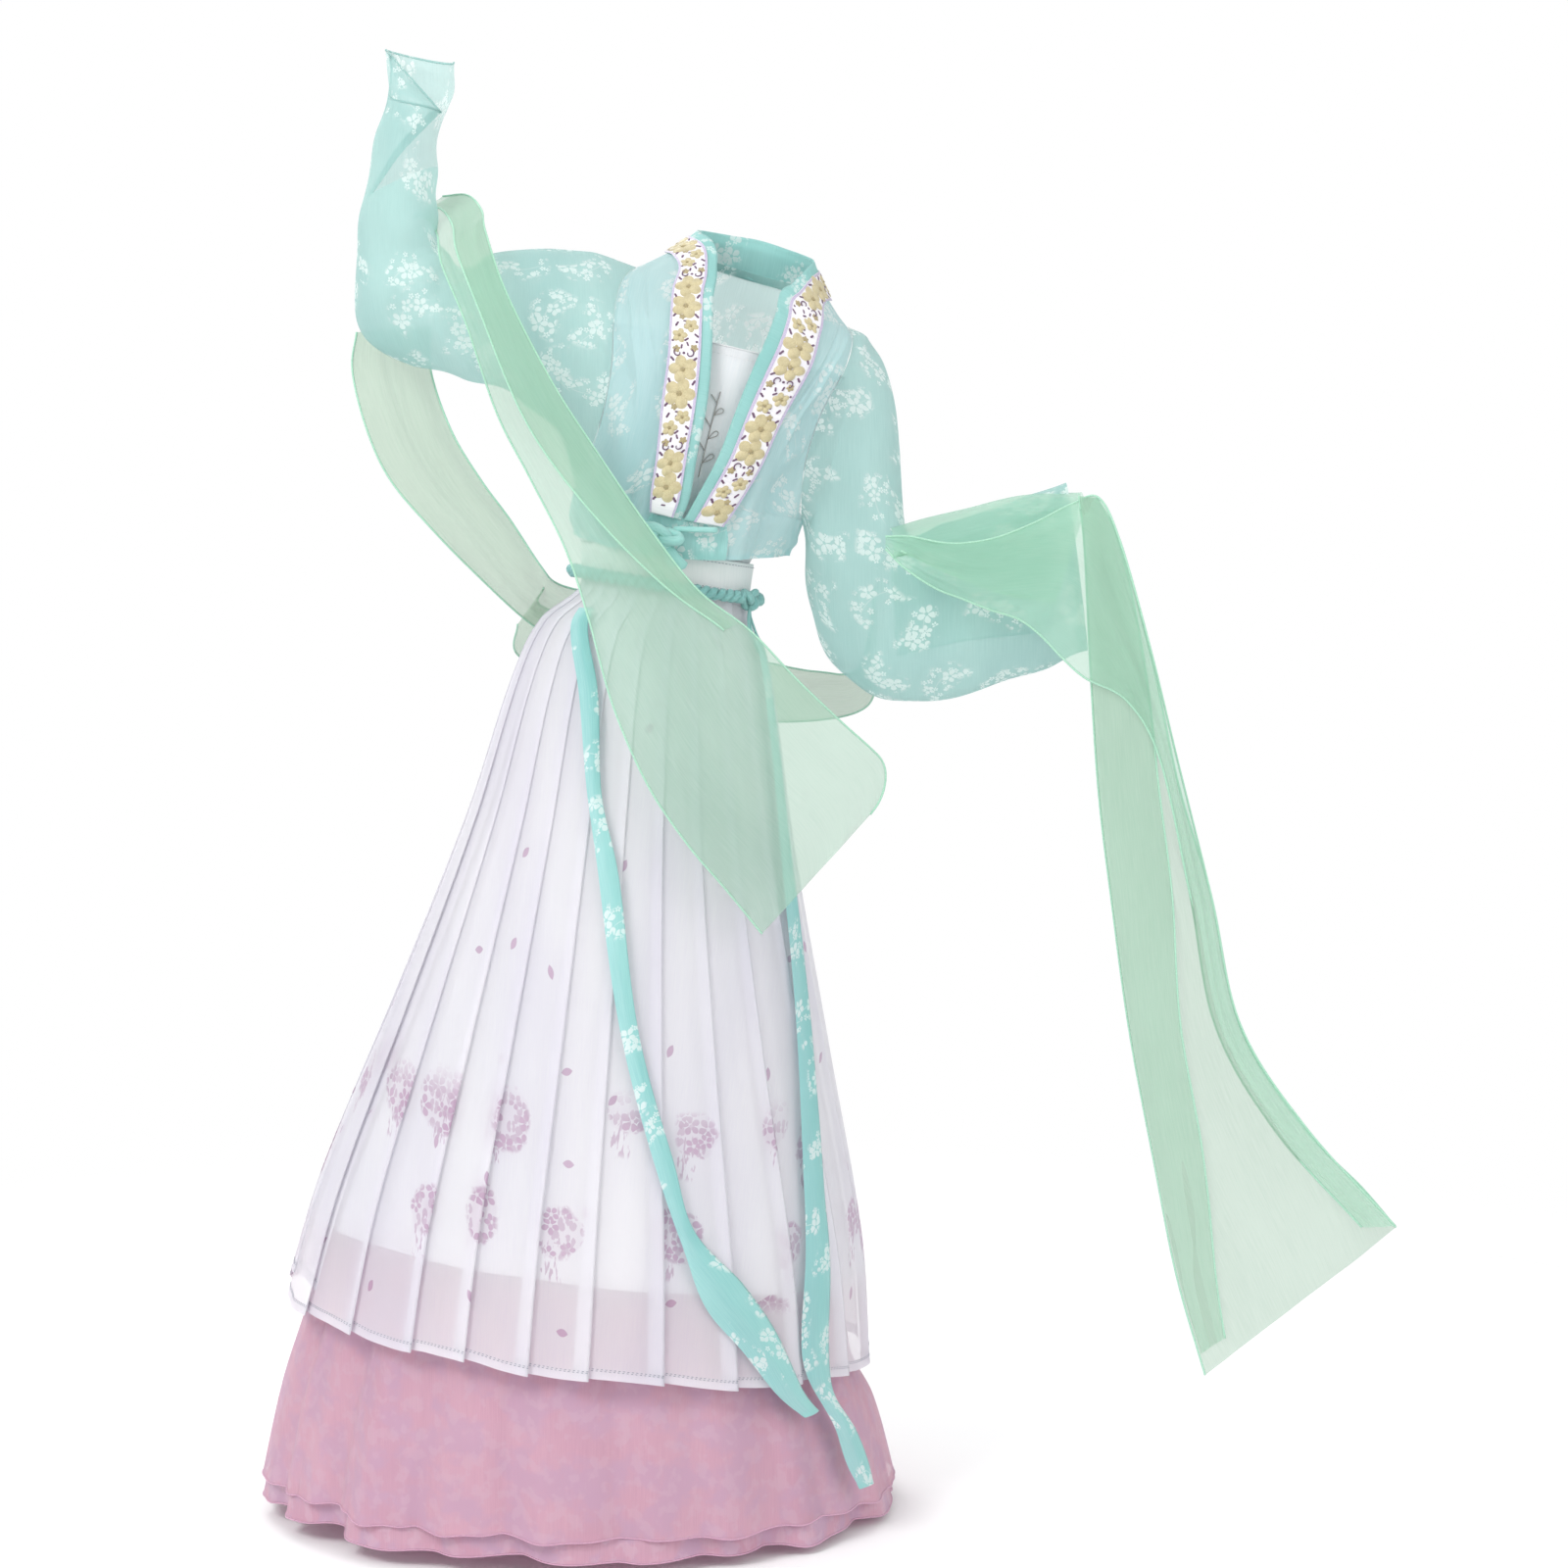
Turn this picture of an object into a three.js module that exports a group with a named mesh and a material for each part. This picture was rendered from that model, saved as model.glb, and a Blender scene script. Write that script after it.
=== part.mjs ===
// A hanfu robe as a worn set: a short cross-tied jacket with wide sleeves and an embroidered
// collar, a camisole, a sheer pleated skirt over a lining and a double underskirt, a corded
// belt with two hanging ribbons, and one long scarf carried over both arms.
//
// Millimetres, +Z up, the front toward -Y, +X to the wearer's left.
// The origin is the centre of the waistband's top edge, where the wearer carries the skirt.
//
// Every piece of cloth is a wall of one thickness. Its middle surface is a grid of points,
// with the columns running round the body from the front toward +X and the rows running up.

import * as THREE from 'three';

// ---------------------------------------------------------------- driving sizes

const CLOTH = 1.2;            // thickness of every cloth wall
const SEAM_GAP = 0.8;         // clear space between two pieces at a seam
const LAID_ON = 1.4;          // clear space under a piece that lies on another
const WAISTBAND_HEIGHT = 34;
const JACKET_HEM = -8;        // height of the jacket's lower edge on its axis
const JACKET_HEM_RISE = 14;   // how much higher that edge is at the sides
const JACKET_TOP = 292;       // where the jacket's back meets the collar
const SKIRT_TOP = -36;
const SKIRT_HEM = -830;
const LINING_HEM = -742;
const UNDERSKIRT_HEM = -985;
const UNDERLINING_HEM = -1010;
const BELT_HEIGHT = -36;      // height of the cord belt on its axis
const BELT_RADIUS = 7;
const COLLAR_EDGING = 0.24;   // share of the collar's width left plain along its inner edge

const COLOURS = {
  jacket: '#a9d8d3', trim: '#ded3b6', camisole: '#f4f4f6', skirt: '#eef1f1',
  lining: '#fafafa', underskirt: '#cf9fbb', scarf: '#9fd6b6', belt: '#8fc9c6',
};

// ---------------------------------------------------------------- small tools

const radians = (degrees) => degrees * Math.PI / 180;
const mix = (a, b, t) => a + (b - a) * t;
const clamp = (value, low, high) => Math.min(high, Math.max(low, value));
const steps = (count, from = 0, to = 1) =>
  Array.from({ length: count + 1 }, (_, k) => mix(from, to, k / count));
const table = (columns, rows) =>
  rows.map((row) => Object.fromEntries(columns.map((name, k) => [name, row[k]])));

// One column of a table, read smoothly at a value of its key column (rows rise by that key).
function read(rows, key, column, at) {
  const last = rows.length - 1;
  const x = clamp(at, rows[0][key], rows[last][key]);
  let k = 0;
  while (k < last - 1 && rows[k + 1][key] < x) k += 1;
  const slope = (i) => {
    const a = rows[Math.max(i - 1, 0)];
    const b = rows[Math.min(i + 1, last)];
    return (b[column] - a[column]) / (b[key] - a[key]);
  };
  const span = rows[k + 1][key] - rows[k][key];
  const t = (x - rows[k][key]) / span;
  const start = rows[k][column];
  const end = rows[k + 1][column];
  return (2 * t ** 3 - 3 * t ** 2 + 1) * start + (t ** 3 - 2 * t ** 2 + t) * span * slope(k)
    + (3 * t ** 2 - 2 * t ** 3) * end + (t ** 3 - t ** 2) * span * slope(k + 1);
}

// A point on a stack of oval rings. Each ring has its height on the body's axis (rise), its
// centre (x, y), its half width and half depth, and its roll to the side. The angle is 0 at
// the front and 90 at the wearer's left. "out" moves the point away from the axis.
function onRings(rings, rise, angle, out = 0) {
  const value = (column) => read(rings, 'rise', column, rise);
  const turn = radians(angle);
  const across = (value('wide') + out) * Math.sin(turn);
  return new THREE.Vector3(
    value('x') + across,
    value('y') - (value('deep') + out) * Math.cos(turn),
    rise + across * Math.tan(radians(value('roll'))),
  );
}

// ---------------------------------------------------------------- cloth walls

// Unit normals of a grid of points, pointing along (column direction) x (row direction).
function gridNormals(grid, closed) {
  const rows = grid.length;
  const columns = grid[0].length;
  const step = (i, j, di, dj) => {
    const a = clamp(i + di, 0, rows - 1);
    const b = closed ? (j + dj + columns) % columns : clamp(j + dj, 0, columns - 1);
    return grid[a][b];
  };
  return grid.map((row, i) => row.map((_, j) => {
    const across = step(i, j, 0, 1).clone().sub(step(i, j, 0, -1));
    const up = step(i, j, 1, 0).clone().sub(step(i, j, -1, 0));
    return across.cross(up).normalize();
  }));
}

function signedVolume(points, triangles) {
  return triangles.reduce((sum, [a, b, c]) =>
    sum + points[a].dot(points[b].clone().cross(points[c])) / 6, 0);
}

// A named mesh of one closed body, with its faces turned outward.
function solid(name, points, triangles, colour) {
  const outward = signedVolume(points, triangles) > 0
    ? triangles : triangles.map(([a, b, c]) => [a, c, b]);
  const geometry = new THREE.BufferGeometry();
  geometry.setAttribute('position',
    new THREE.Float32BufferAttribute(points.flatMap((p) => [p.x, p.y, p.z]), 3));
  geometry.setIndex(outward.flat());
  geometry.computeVertexNormals();
  const material = new THREE.MeshStandardMaterial({ color: colour, roughness: 0.7, metalness: 0 });
  const mesh = new THREE.Mesh(geometry, material);
  mesh.name = name;
  return mesh;
}

// A closed wall on a grid: its inner face lies "lift" out from the grid and its outer face one
// cloth further. "closed" joins the last column to the first. "holds" says which cells of the
// grid have cloth, so that a mouth or a notch can be left open.
function wall(name, grid, colour, { lift = 0, closed = false, holds = () => true } = {}) {
  const rows = grid.length;
  const columns = grid[0].length;
  const normals = gridNormals(grid, closed);
  const index = new Map();
  const points = [];
  const corner = (i, j, side) => {
    const column = j % columns;
    const key = `${i},${column},${side}`;
    if (!index.has(key)) {
      index.set(key, points.length);
      const out = lift + side * CLOTH;
      points.push(grid[i][column].clone().addScaledVector(normals[i][column], out));
    }
    return index.get(key);
  };
  const triangles = [];
  const quad = (a, b, c, d) => triangles.push([a, b, c], [a, c, d]);
  const rim = new Map();
  const edge = (a, b) => {
    const back = `${b},${a}`;
    if (rim.has(back)) rim.delete(back);
    else rim.set(`${a},${b}`, [a, b]);
  };
  const innerOf = new Map();
  const lastColumn = closed ? columns : columns - 1;
  for (let i = 0; i < rows - 1; i += 1) {
    for (let j = 0; j < lastColumn; j += 1) {
      if (!holds(i, j)) continue;
      const cell = [[i, j], [i, j + 1], [i + 1, j + 1], [i + 1, j]];
      const outer = cell.map(([a, b]) => corner(a, b, 1));
      const inner = cell.map(([a, b]) => corner(a, b, 0));
      outer.forEach((point, k) => innerOf.set(point, inner[k]));
      quad(...outer);
      quad(inner[0], inner[3], inner[2], inner[1]);
      outer.forEach((point, k) => edge(point, outer[(k + 1) % 4]));
    }
  }
  for (const [a, b] of rim.values()) quad(b, a, innerOf.get(a), innerOf.get(b));
  return solid(name, points, triangles, colour);
}

// A knot of gathered cloth: a ball squashed to three half sizes.
function knot(name, centre, halfSizes, { tilt = 0, turn = 0 } = {}) {
  const material = new THREE.MeshStandardMaterial({
    color: COLOURS.belt, roughness: 0.7, metalness: 0,
  });
  const mesh = new THREE.Mesh(new THREE.IcosahedronGeometry(1, 1), material);
  mesh.name = name;
  mesh.scale.set(...halfSizes);
  mesh.rotation.set(0, radians(tilt), radians(turn));
  mesh.position.copy(centre);
  return mesh;
}

// A strip between two edges. Its table has a row for each section, with both edge points; the
// strip bulges forward by "bow" half way across.
const STRIP_COLUMNS = ['s', 'ax', 'ay', 'az', 'bx', 'by', 'bz', 'bow'];
function stripGrid(rows, sections, columns) {
  const from = rows[0].s;
  const to = rows[rows.length - 1].s;
  return steps(sections, from, to).map((s) => {
    const value = (column) => read(rows, 's', column, s);
    const a = new THREE.Vector3(value('ax'), value('ay'), value('az'));
    const b = new THREE.Vector3(value('bx'), value('by'), value('bz'));
    return steps(columns).map((t) => {
      const point = a.clone().lerp(b, t);
      point.y -= value('bow') * 4 * t * (1 - t);
      return point;
    });
  });
}

// ---------------------------------------------------------------- body of the jacket

const RING_COLUMNS = ['rise', 'x', 'y', 'wide', 'deep', 'roll'];
const BODICE = table(RING_COLUMNS, [
  [-8, 12, 0, 112, 86, -5],
  [18, 14, 0, 112, 88, -6],
  [45, 20, -2, 118, 96, -8],
  [100, 34, -4, 128, 104, -10],
  [160, 50, -4, 138, 106, -12],
  [215, 64, 0, 142, 98, -14],
  [255, 74, 6, 128, 82, -15],
  [280, 81, 12, 99, 71, -16],
  [300, 87, 16, 78, 62, -16],
  [318, 91, 18, 65, 56, -15],
  [336, 95, 20, 56, 52, -14],
]);

// The collar's path over the bodice: the angle and rise of its inner and outer edges, from
// the front of the wearer's right side (section 0) round the neck to the left side.
const COLLAR = table(['s', 'innerAngle', 'innerRise', 'outerAngle', 'outerRise'], [
  [0, -0.8, 32, -17, 36],
  [1, 1, 56, -18, 54],
  [2, -0.5, 101, -18.7, 92],
  [3, -1.8, 150, -21, 146],
  [4, -5.5, 206, -23, 200],
  [5, -11, 254, -29, 246],
  [6, -19, 286, -39, 276],
  [7, -37, 318, -58, 292],
  [8, -68, 330, -84, 294],
  [9, -110, 334, -118, 293],
  [10, -150, 336, -152, 293],
  [11, -182, 336, -182, 293],
  [12, -216, 336, -212, 293],
  [13, -254, 334, -246, 293],
  [14, -288, 332, -278, 293],
  [15, -308, 326, -298, 291],
  [16, -327, 302, -310, 275],
  [17, -339, 276, -319, 250],
  [18, -346, 216, -323, 212],
  [19, -349, 158, -328, 154],
  [20, -351, 100, -330, 98],
  [21, -356, 55, -335, 52],
  [22, -359.2, 32, -338.5, 30],
]);
const COLLAR_SECTIONS = COLLAR.length - 1;
const BACK_OF_NECK = 11;

function collarPoint(section, across) {
  const value = (column) => read(COLLAR, 's', column, section);
  const angle = mix(value('outerAngle'), value('innerAngle'), across);
  const rise = mix(value('outerRise'), value('innerRise'), across);
  return onRings(BODICE, rise, angle);
}

// The collar's strip: its columns run along the collar and its rows from the outer edge in.
// The trim covers all but the edging, which is the strip's last row of cells.
const COLLAR_ROWS = [0, (1 - COLLAR_EDGING) / 2, 1 - COLLAR_EDGING, 1];
const COLLAR_STEPS = 34;
const collarGrid = COLLAR_ROWS.map((across) =>
  steps(COLLAR_STEPS, COLLAR_SECTIONS, 0).map((section) => collarPoint(section, across)));
const underTrim = (row) => row < COLLAR_ROWS.length - 2;

// The angle of the collar's outer edge where it passes a rise, on one side of the front.
function collarEdge(rise, side) {
  const count = BACK_OF_NECK - 3;
  const half = side < 0
    ? COLLAR.slice(0, count)
    : COLLAR.slice(COLLAR.length - count).reverse();
  const edge = half.map((row) => ({
    rise: row.outerRise, angle: side < 0 ? row.outerAngle : row.outerAngle + 360,
  }));
  return read(edge, 'rise', 'angle', rise);
}

// The armhole is an oval about the side of the bodice, in degrees of turn and rise.
const ARMHOLE = { halfTurn: 38, rise: 160, halfHeight: 110 };

function armholeTurn(rise) {
  const high = (rise - ARMHOLE.rise) / ARMHOLE.halfHeight;
  return Math.abs(high) < 1 ? ARMHOLE.halfTurn * Math.sqrt(1 - high * high) : 0;
}

// Row heights of the jacket's panels: close together where the armhole begins and ends.
const ARMHOLE_STEPS = 8;
function panelRises(top) {
  const oval = steps(ARMHOLE_STEPS).map((t) =>
    ARMHOLE.rise - ARMHOLE.halfHeight * Math.cos(Math.PI * t));
  const rises = [JACKET_HEM, 20, ...oval, ARMHOLE.rise + ARMHOLE.halfHeight + 12, top];
  return rises.filter((rise, k) => rise <= top && rises.indexOf(rise) === k);
}

// Degrees that a gap between two pieces takes at a rise, on the side of the bodice.
const gapTurn = (rise, gap) => gap / read(BODICE, 'rise', 'deep', rise) * 180 / Math.PI;

// A point of the jacket's body: its lower edge is higher at the sides than in front.
function jacketPoint(rise, turn) {
  const lifted = JACKET_HEM_RISE * Math.sin(radians(turn)) ** 2;
  return onRings(BODICE, rise === JACKET_HEM ? rise + lifted : rise, turn);
}

function jacketFront(name, side) {
  const grid = panelRises(JACKET_TOP - 2).map((rise) => {
    const gap = gapTurn(rise, SEAM_GAP);
    const edge = Math.abs(rise < COLLAR[0].outerRise ? collarEdge(COLLAR[0].outerRise, side)
      : collarEdge(rise, side)) + gap;
    const sideSeam = Math.max(90 - armholeTurn(rise) - gap / 2, edge + 0.5);
    const turns = steps(7, edge, sideSeam).map((turn) => side * turn);
    return (side < 0 ? turns.reverse() : turns).map((turn) => jacketPoint(rise, turn));
  });
  return wall(name, grid, COLOURS.jacket);
}

function jacketBack(name) {
  const grid = panelRises(JACKET_TOP - 2).map((rise) => {
    const gap = gapTurn(rise, SEAM_GAP);
    const sideSeam = 90 + armholeTurn(rise) + gap / 2;
    return steps(10, sideSeam, 360 - sideSeam).map((turn) => jacketPoint(rise, turn));
  });
  return wall(name, grid, COLOURS.jacket);
}

// Below the collar's ends the two fronts are gathered to the tie: a small joining panel.
function jacketTieTab(name) {
  const top = COLLAR[0].outerRise - 8;
  const grid = [JACKET_HEM, mix(JACKET_HEM, top, 0.5), top].map((rise) => {
    const gap = gapTurn(rise, SEAM_GAP);
    const from = collarEdge(COLLAR[0].outerRise, -1) + gap / 2;
    const to = collarEdge(COLLAR[0].outerRise, 1) - gap / 2;
    return steps(3, from, to).map((turn) => jacketPoint(rise, turn));
  });
  return wall(name, grid, COLOURS.jacket);
}

// ---------------------------------------------------------------- sleeves

// A sleeve is a stack of sections. Each has its upper edge (tx, ty, tz) and its lower edge
// (bx, by, bz), and the half depth of its rounding near the upper and the lower edge.
const SLEEVE_COLUMNS = ['s', 'tx', 'ty', 'tz', 'bx', 'by', 'bz', 'upper', 'lower'];
const LEFT_SLEEVE = table(SLEEVE_COLUMNS, [
  [1, 212, 0, 226, 147, 0, 6, 56, 44],
  [2, 233, 0, 190, 150, 0, -60, 54, 38],
  [3, 246, -10, 110, 174, -10, -118, 50, 32],
  [4, 253, -22, 20, 212, -20, -150, 48, 30],
  [5, 293, -42, 30, 268, -40, -160, 42, 26],
  [6, 339, -62, 43, 329, -60, -146, 38, 22],
  [7, 379, -78, 58, 390, -75, -125, 34, 18],
  [8, 416, -92, 71, 440, -90, -104, 30, 14],
]);
const RIGHT_SLEEVE = table(SLEEVE_COLUMNS, [
  [1, -84, -6, 317, -124, -5, 132, 52, 44],
  [2, -136, -16, 320, -170, -15, 168, 50, 40],
  [3, -184, -28, 312, -220, -28, 184, 48, 38],
  [4, -214, -36, 296, -272, -38, 194, 46, 36],
  [5, -236, -42, 318, -316, -45, 220, 44, 34],
  [6, -241, -46, 346, -328, -46, 268, 42, 32],
  [7, -241, -50, 372, -325, -48, 322, 40, 30],
  [8, -240, -54, 400, -318, -50, 366, 38, 28],
  [9, -238, -58, 430, -306, -56, 420, 36, 26],
  [10, -228, -61, 462, -294, -60, 460, 34, 24],
  [11, -219, -64, 490, -285, -63, 500, 32, 22],
  [12, -222, -66, 506, -290, -65, 520, 30, 20],
]);
const SLEEVE_COLUMN_COUNT = 16;

// A point of a sleeve at its section "s" (0 is the armhole, 1 the table's first row) and its
// turn: 90 at the upper edge, 0 at the front, -90 at the lower edge, 180 at the back.
function sleevePoint(rows, side, s, turn) {
  const sine = Math.sin(radians(turn));
  const cosine = Math.cos(radians(turn));
  if (s < 1) {
    const angle = side * (90 - ARMHOLE.halfTurn * cosine * 0.97);
    const rise = ARMHOLE.rise + ARMHOLE.halfHeight * sine * 0.97;
    const seam = onRings(BODICE, rise, angle, CLOTH + SEAM_GAP + 1);
    return s <= 0 ? seam : seam.lerp(sleevePoint(rows, side, 1, turn), s);
  }
  const value = (column) => read(rows, 's', column, s);
  const down = (1 - sine) / 2;
  const upper = new THREE.Vector3(value('tx'), value('ty'), value('tz'));
  const lower = new THREE.Vector3(value('bx'), value('by'), value('bz'));
  const point = upper.lerp(lower, down);
  point.y -= mix(value('upper'), value('lower'), down) * cosine;
  return point;
}

// The hanging sleeve: a closed tube from the armhole to its wide mouth.
function leftSleeve(name) {
  const grid = [0, 0.5, 1, 2, 3, 4, 5, 6, 7, 8].map((s) =>
    steps(SLEEVE_COLUMN_COUNT - 1, 90, 90 - 360 * (1 - 1 / SLEEVE_COLUMN_COUNT))
      .map((turn) => sleevePoint(LEFT_SLEEVE, 1, s, turn)));
  return wall(name, grid, COLOURS.jacket, { closed: true });
}

// The raised sleeve: closed up to the forearm, then open on its front, where the mouth's edge
// runs slanting up to a corner and the far layer goes on to the wrist.
const MOUTH = { from: 8, edgeColumn: 6, edgeTurn: -56, cornerTurn: 48, corner: 10.9, end: 12 };
function rightSleeve(name) {
  const turnStep = 360 / SLEEVE_COLUMN_COUNT;
  const closedRows = [0, 0.5, 1, 2, 3, 4, 5, 6, 7, MOUTH.from];
  const mouthRows = steps(4).slice(1);
  const columns = steps(SLEEVE_COLUMN_COUNT - 1, 0, SLEEVE_COLUMN_COUNT - 1);
  const baseTurn = (j) => 90 - turnStep * j;
  const grid = closedRows.map((s) => columns.map((j) =>
    sleevePoint(RIGHT_SLEEVE, -1, s, baseTurn(j))));
  for (const t of mouthRows) {
    grid.push(columns.map((j) => {
      const front = j >= MOUTH.edgeColumn && j <= 8;
      const towardEdge = front ? (8 - j) / (8 - MOUTH.edgeColumn) : 0;
      const end = mix(MOUTH.end, MOUTH.corner, towardEdge);
      const s = mix(MOUTH.from, end, t);
      const spread = towardEdge * t * (MOUTH.cornerTurn - MOUTH.edgeTurn);
      return sleevePoint(RIGHT_SLEEVE, -1, s, baseTurn(j) + spread);
    }));
  }
  const mouthRow = closedRows.length - 1;
  const holds = (i, j) => i < mouthRow || j >= MOUTH.edgeColumn;
  return wall(name, grid, COLOURS.jacket, { closed: true, holds });
}

// ---------------------------------------------------------------- camisole and skirts

const CAMISOLE_HEM = -22;
const CAMISOLE_TOP = 213;
const CAMISOLE = table(RING_COLUMNS, [
  [CAMISOLE_HEM, -2, 0, 76, 60, -8],
  [0, 4, 0, 82, 64, -8],
  [60, 22, -2, 98, 82, -9],
  [120, 39, -4, 112, 90, -11],
  [180, 55, -3, 122, 90, -12],
  [CAMISOLE_TOP, 63, 0, 124, 86, -13],
]);
const WAISTBAND = table(RING_COLUMNS, [
  [-WAISTBAND_HEIGHT, -4, 0, 88, 73, -9],
  [-WAISTBAND_HEIGHT / 2, -3, 0, 89, 73, -9],
  [0, -2, 0, 91, 74, -9],
]);
const SKIRT = table(RING_COLUMNS, [
  [SKIRT_HEM, -102, -8, 312, 260, -7],
  [-700, -87, -6, 288, 234, -7],
  [-500, -63, -4, 230, 192, -8],
  [-300, -42, -2, 174, 150, -8],
  [-150, -27, 0, 140, 120, -9],
  [-90, -18, 0, 120, 100, -9],
  [-56, -7, 0, 92, 77, -9],
  [SKIRT_TOP, -4, 0, 88, 73, -9],
]);
const UNDERSKIRT = table(RING_COLUMNS, [
  [UNDERLINING_HEM, -98, -8, 352, 296, -1],
  [-900, -98, -8, 324, 272, -3],
  [SKIRT_HEM, -98, -8, 296, 244, -6],
  [-700, -87, -6, 271, 218, -7],
  [-500, -63, -4, 214, 176, -8],
  [-300, -42, -2, 158, 134, -8],
  [-150, -27, 0, 124, 104, -9],
  [-90, -18, 0, 104, 84, -9],
  [-56, -7, 0, 78, 62, -9],
  [SKIRT_TOP, -4, 0, 74, 58, -9],
]);

// A knife pleat's height across its width: it rises evenly and drops at its free edge.
const PLEATS = 12;
const PLEAT_HEIGHT = 7;
function pleat(angle) {
  const turn = (((angle + 360) % 360) / 360) * PLEATS;
  const part = turn - Math.floor(turn);
  return part < 2 / 3 ? part * 1.5 : (1 - part) * 3;
}

// A plain tube on a stack of rings, with a row of points at each rise.
function ringTube(name, rings, rises, columns, colour, out = 0) {
  const grid = rises.map((rise) =>
    steps(columns - 1, 0, 360 * (1 - 1 / columns)).map((angle) =>
      onRings(rings, rise, angle, out)));
  return wall(name, grid, colour, { closed: true });
}

// The outer skirt wraps: a front and a back panel that overlap at the wearer's right side,
// where the back panel passes under the front one and its hem is higher.
const TUBE_TURNS = 28;
const LINING_OUT = -9;
const UNDERLINING_OUT = -6;
const HIP_ROWS = [-500, -260, -110, -56, SKIRT_TOP];
const SKIRT_ROWS = [SKIRT_HEM, -740, -620, ...HIP_ROWS];
const OVERLAP = { from: 262, to: 275, under: -5, hem: 26 };
const overlapShare = (angle) =>
  clamp((angle - OVERLAP.from) / (OVERLAP.to - OVERLAP.from), 0, 1);

function skirtPanel(name, turns) {
  const grid = SKIRT_ROWS.map((row) => turns.map((angle) => {
    const share = (row - SKIRT_TOP) / (SKIRT_HEM - SKIRT_TOP);
    const under = overlapShare(angle);
    const rise = row + OVERLAP.hem * under * share;
    return onRings(SKIRT, rise, angle, OVERLAP.under * under + PLEAT_HEIGHT * pleat(angle) * share);
  }));
  return wall(name, grid, COLOURS.skirt);
}

const SIDE_SEAM = 100;
const SEAM_TURN = 0.7;
const frontTurns = steps(18, -80, SIDE_SEAM);
const backTurns = [SIDE_SEAM + SEAM_TURN, ...steps(19, SIDE_SEAM + 10, 300)];

// ---------------------------------------------------------------- belt, ribbons, scarf

// The belt is a round cord that meets its own knot on the left hip.
const BELT_OUT = BELT_RADIUS + 4;
const BELT_KNOT = { angle: 66, along: 13, across: 9, high: 12, clear: 10 };
const BELT_STEPS = 26;
const BELT_SIDES = 6;
const beltPoint = (angle) => onRings(SKIRT, BELT_HEIGHT, angle, BELT_OUT);

function beltCord(name) {
  const from = BELT_KNOT.angle + BELT_KNOT.clear;
  const to = BELT_KNOT.angle + 360 - BELT_KNOT.clear;
  const path = new THREE.CatmullRomCurve3(steps(BELT_STEPS, from, to).map(beltPoint));
  const outline = steps(BELT_SIDES - 1, 0, 2 * Math.PI * (1 - 1 / BELT_SIDES)).map((turn) =>
    new THREE.Vector2(BELT_RADIUS * Math.cos(turn), BELT_RADIUS * Math.sin(turn)));
  const geometry = new THREE.ExtrudeGeometry(new THREE.Shape(outline),
    { steps: BELT_STEPS, extrudePath: path });
  const material = new THREE.MeshStandardMaterial({
    color: COLOURS.belt, roughness: 0.7, metalness: 0,
  });
  const mesh = new THREE.Mesh(geometry, material);
  mesh.name = name;
  return mesh;
}

function beltKnot(name) {
  const { angle, along, across, high } = BELT_KNOT;
  return knot(name, beltPoint(angle), [along, across, high], { turn: angle });
}

// The jacket's two ties are knotted over the joining panel below the collar's ends.
function jacketKnot(name) {
  const centre = onRings(BODICE, 14, -8, 14);
  return knot(name, centre, [25, 10, 13], { tilt: 20 });
}

// The belt's two hanging ribbons lie on the skirt: the angle and rise of both their edges, from
// the free end up. Past the skirt's hem they follow the underskirt.
const RIBBON_OUT = 12;
const RIBBON_RINGS = [
  ...table(RING_COLUMNS, [[UNDERLINING_HEM, -98, -8, 358, 302, -1], [-900, -98, -8, 332, 280, -3]]),
  ...SKIRT,
];
const RIBBON_COLUMNS = ['s', 'angleA', 'riseA', 'angleB', 'riseB'];
const RIGHT_RIBBON = table(RIBBON_COLUMNS, [
  [0, 47, -868, 51.5, -862],
  [1, 35.5, -797, 44, -785],
  [2, 26, -748, 34.5, -728],
  [3, 20, -682, 23.2, -675],
  [4, 13.5, -604, 18, -604],
  [5, 4, -484, 8.5, -482],
  [6, -6, -342, 0, -338],
  [7, -14, -256, -9, -255],
  [8, -25, -150, -17, -146],
  [9, -43, -72, -34, -70],
]);
const LEFT_RIBBON = table(RIBBON_COLUMNS, [
  [0, 56.5, -962, 61, -961],
  [1, 54, -925, 60.5, -925],
  [2, 53, -853, 58, -853],
  [3, 49, -790, 58, -792],
  [4, 51, -685, 59.5, -687],
  [5, 53, -600, 60.5, -602],
  [6, 58, -424, 66, -424],
  [7, 61, -275, 69, -275],
  [8, 60, -124, 68, -122],
  [9, 60, -76, 68, -75],
]);

function ribbon(name, rows) {
  const grid = steps(13, 0, rows.length - 1).map((s) => {
    const value = (column) => read(rows, 's', column, s);
    return steps(2).map((t) => onRings(RIBBON_RINGS, mix(value('riseA'), value('riseB'), t),
      mix(value('angleA'), value('angleB'), t), RIBBON_OUT));
  });
  return wall(name, grid, COLOURS.belt);
}

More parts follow.
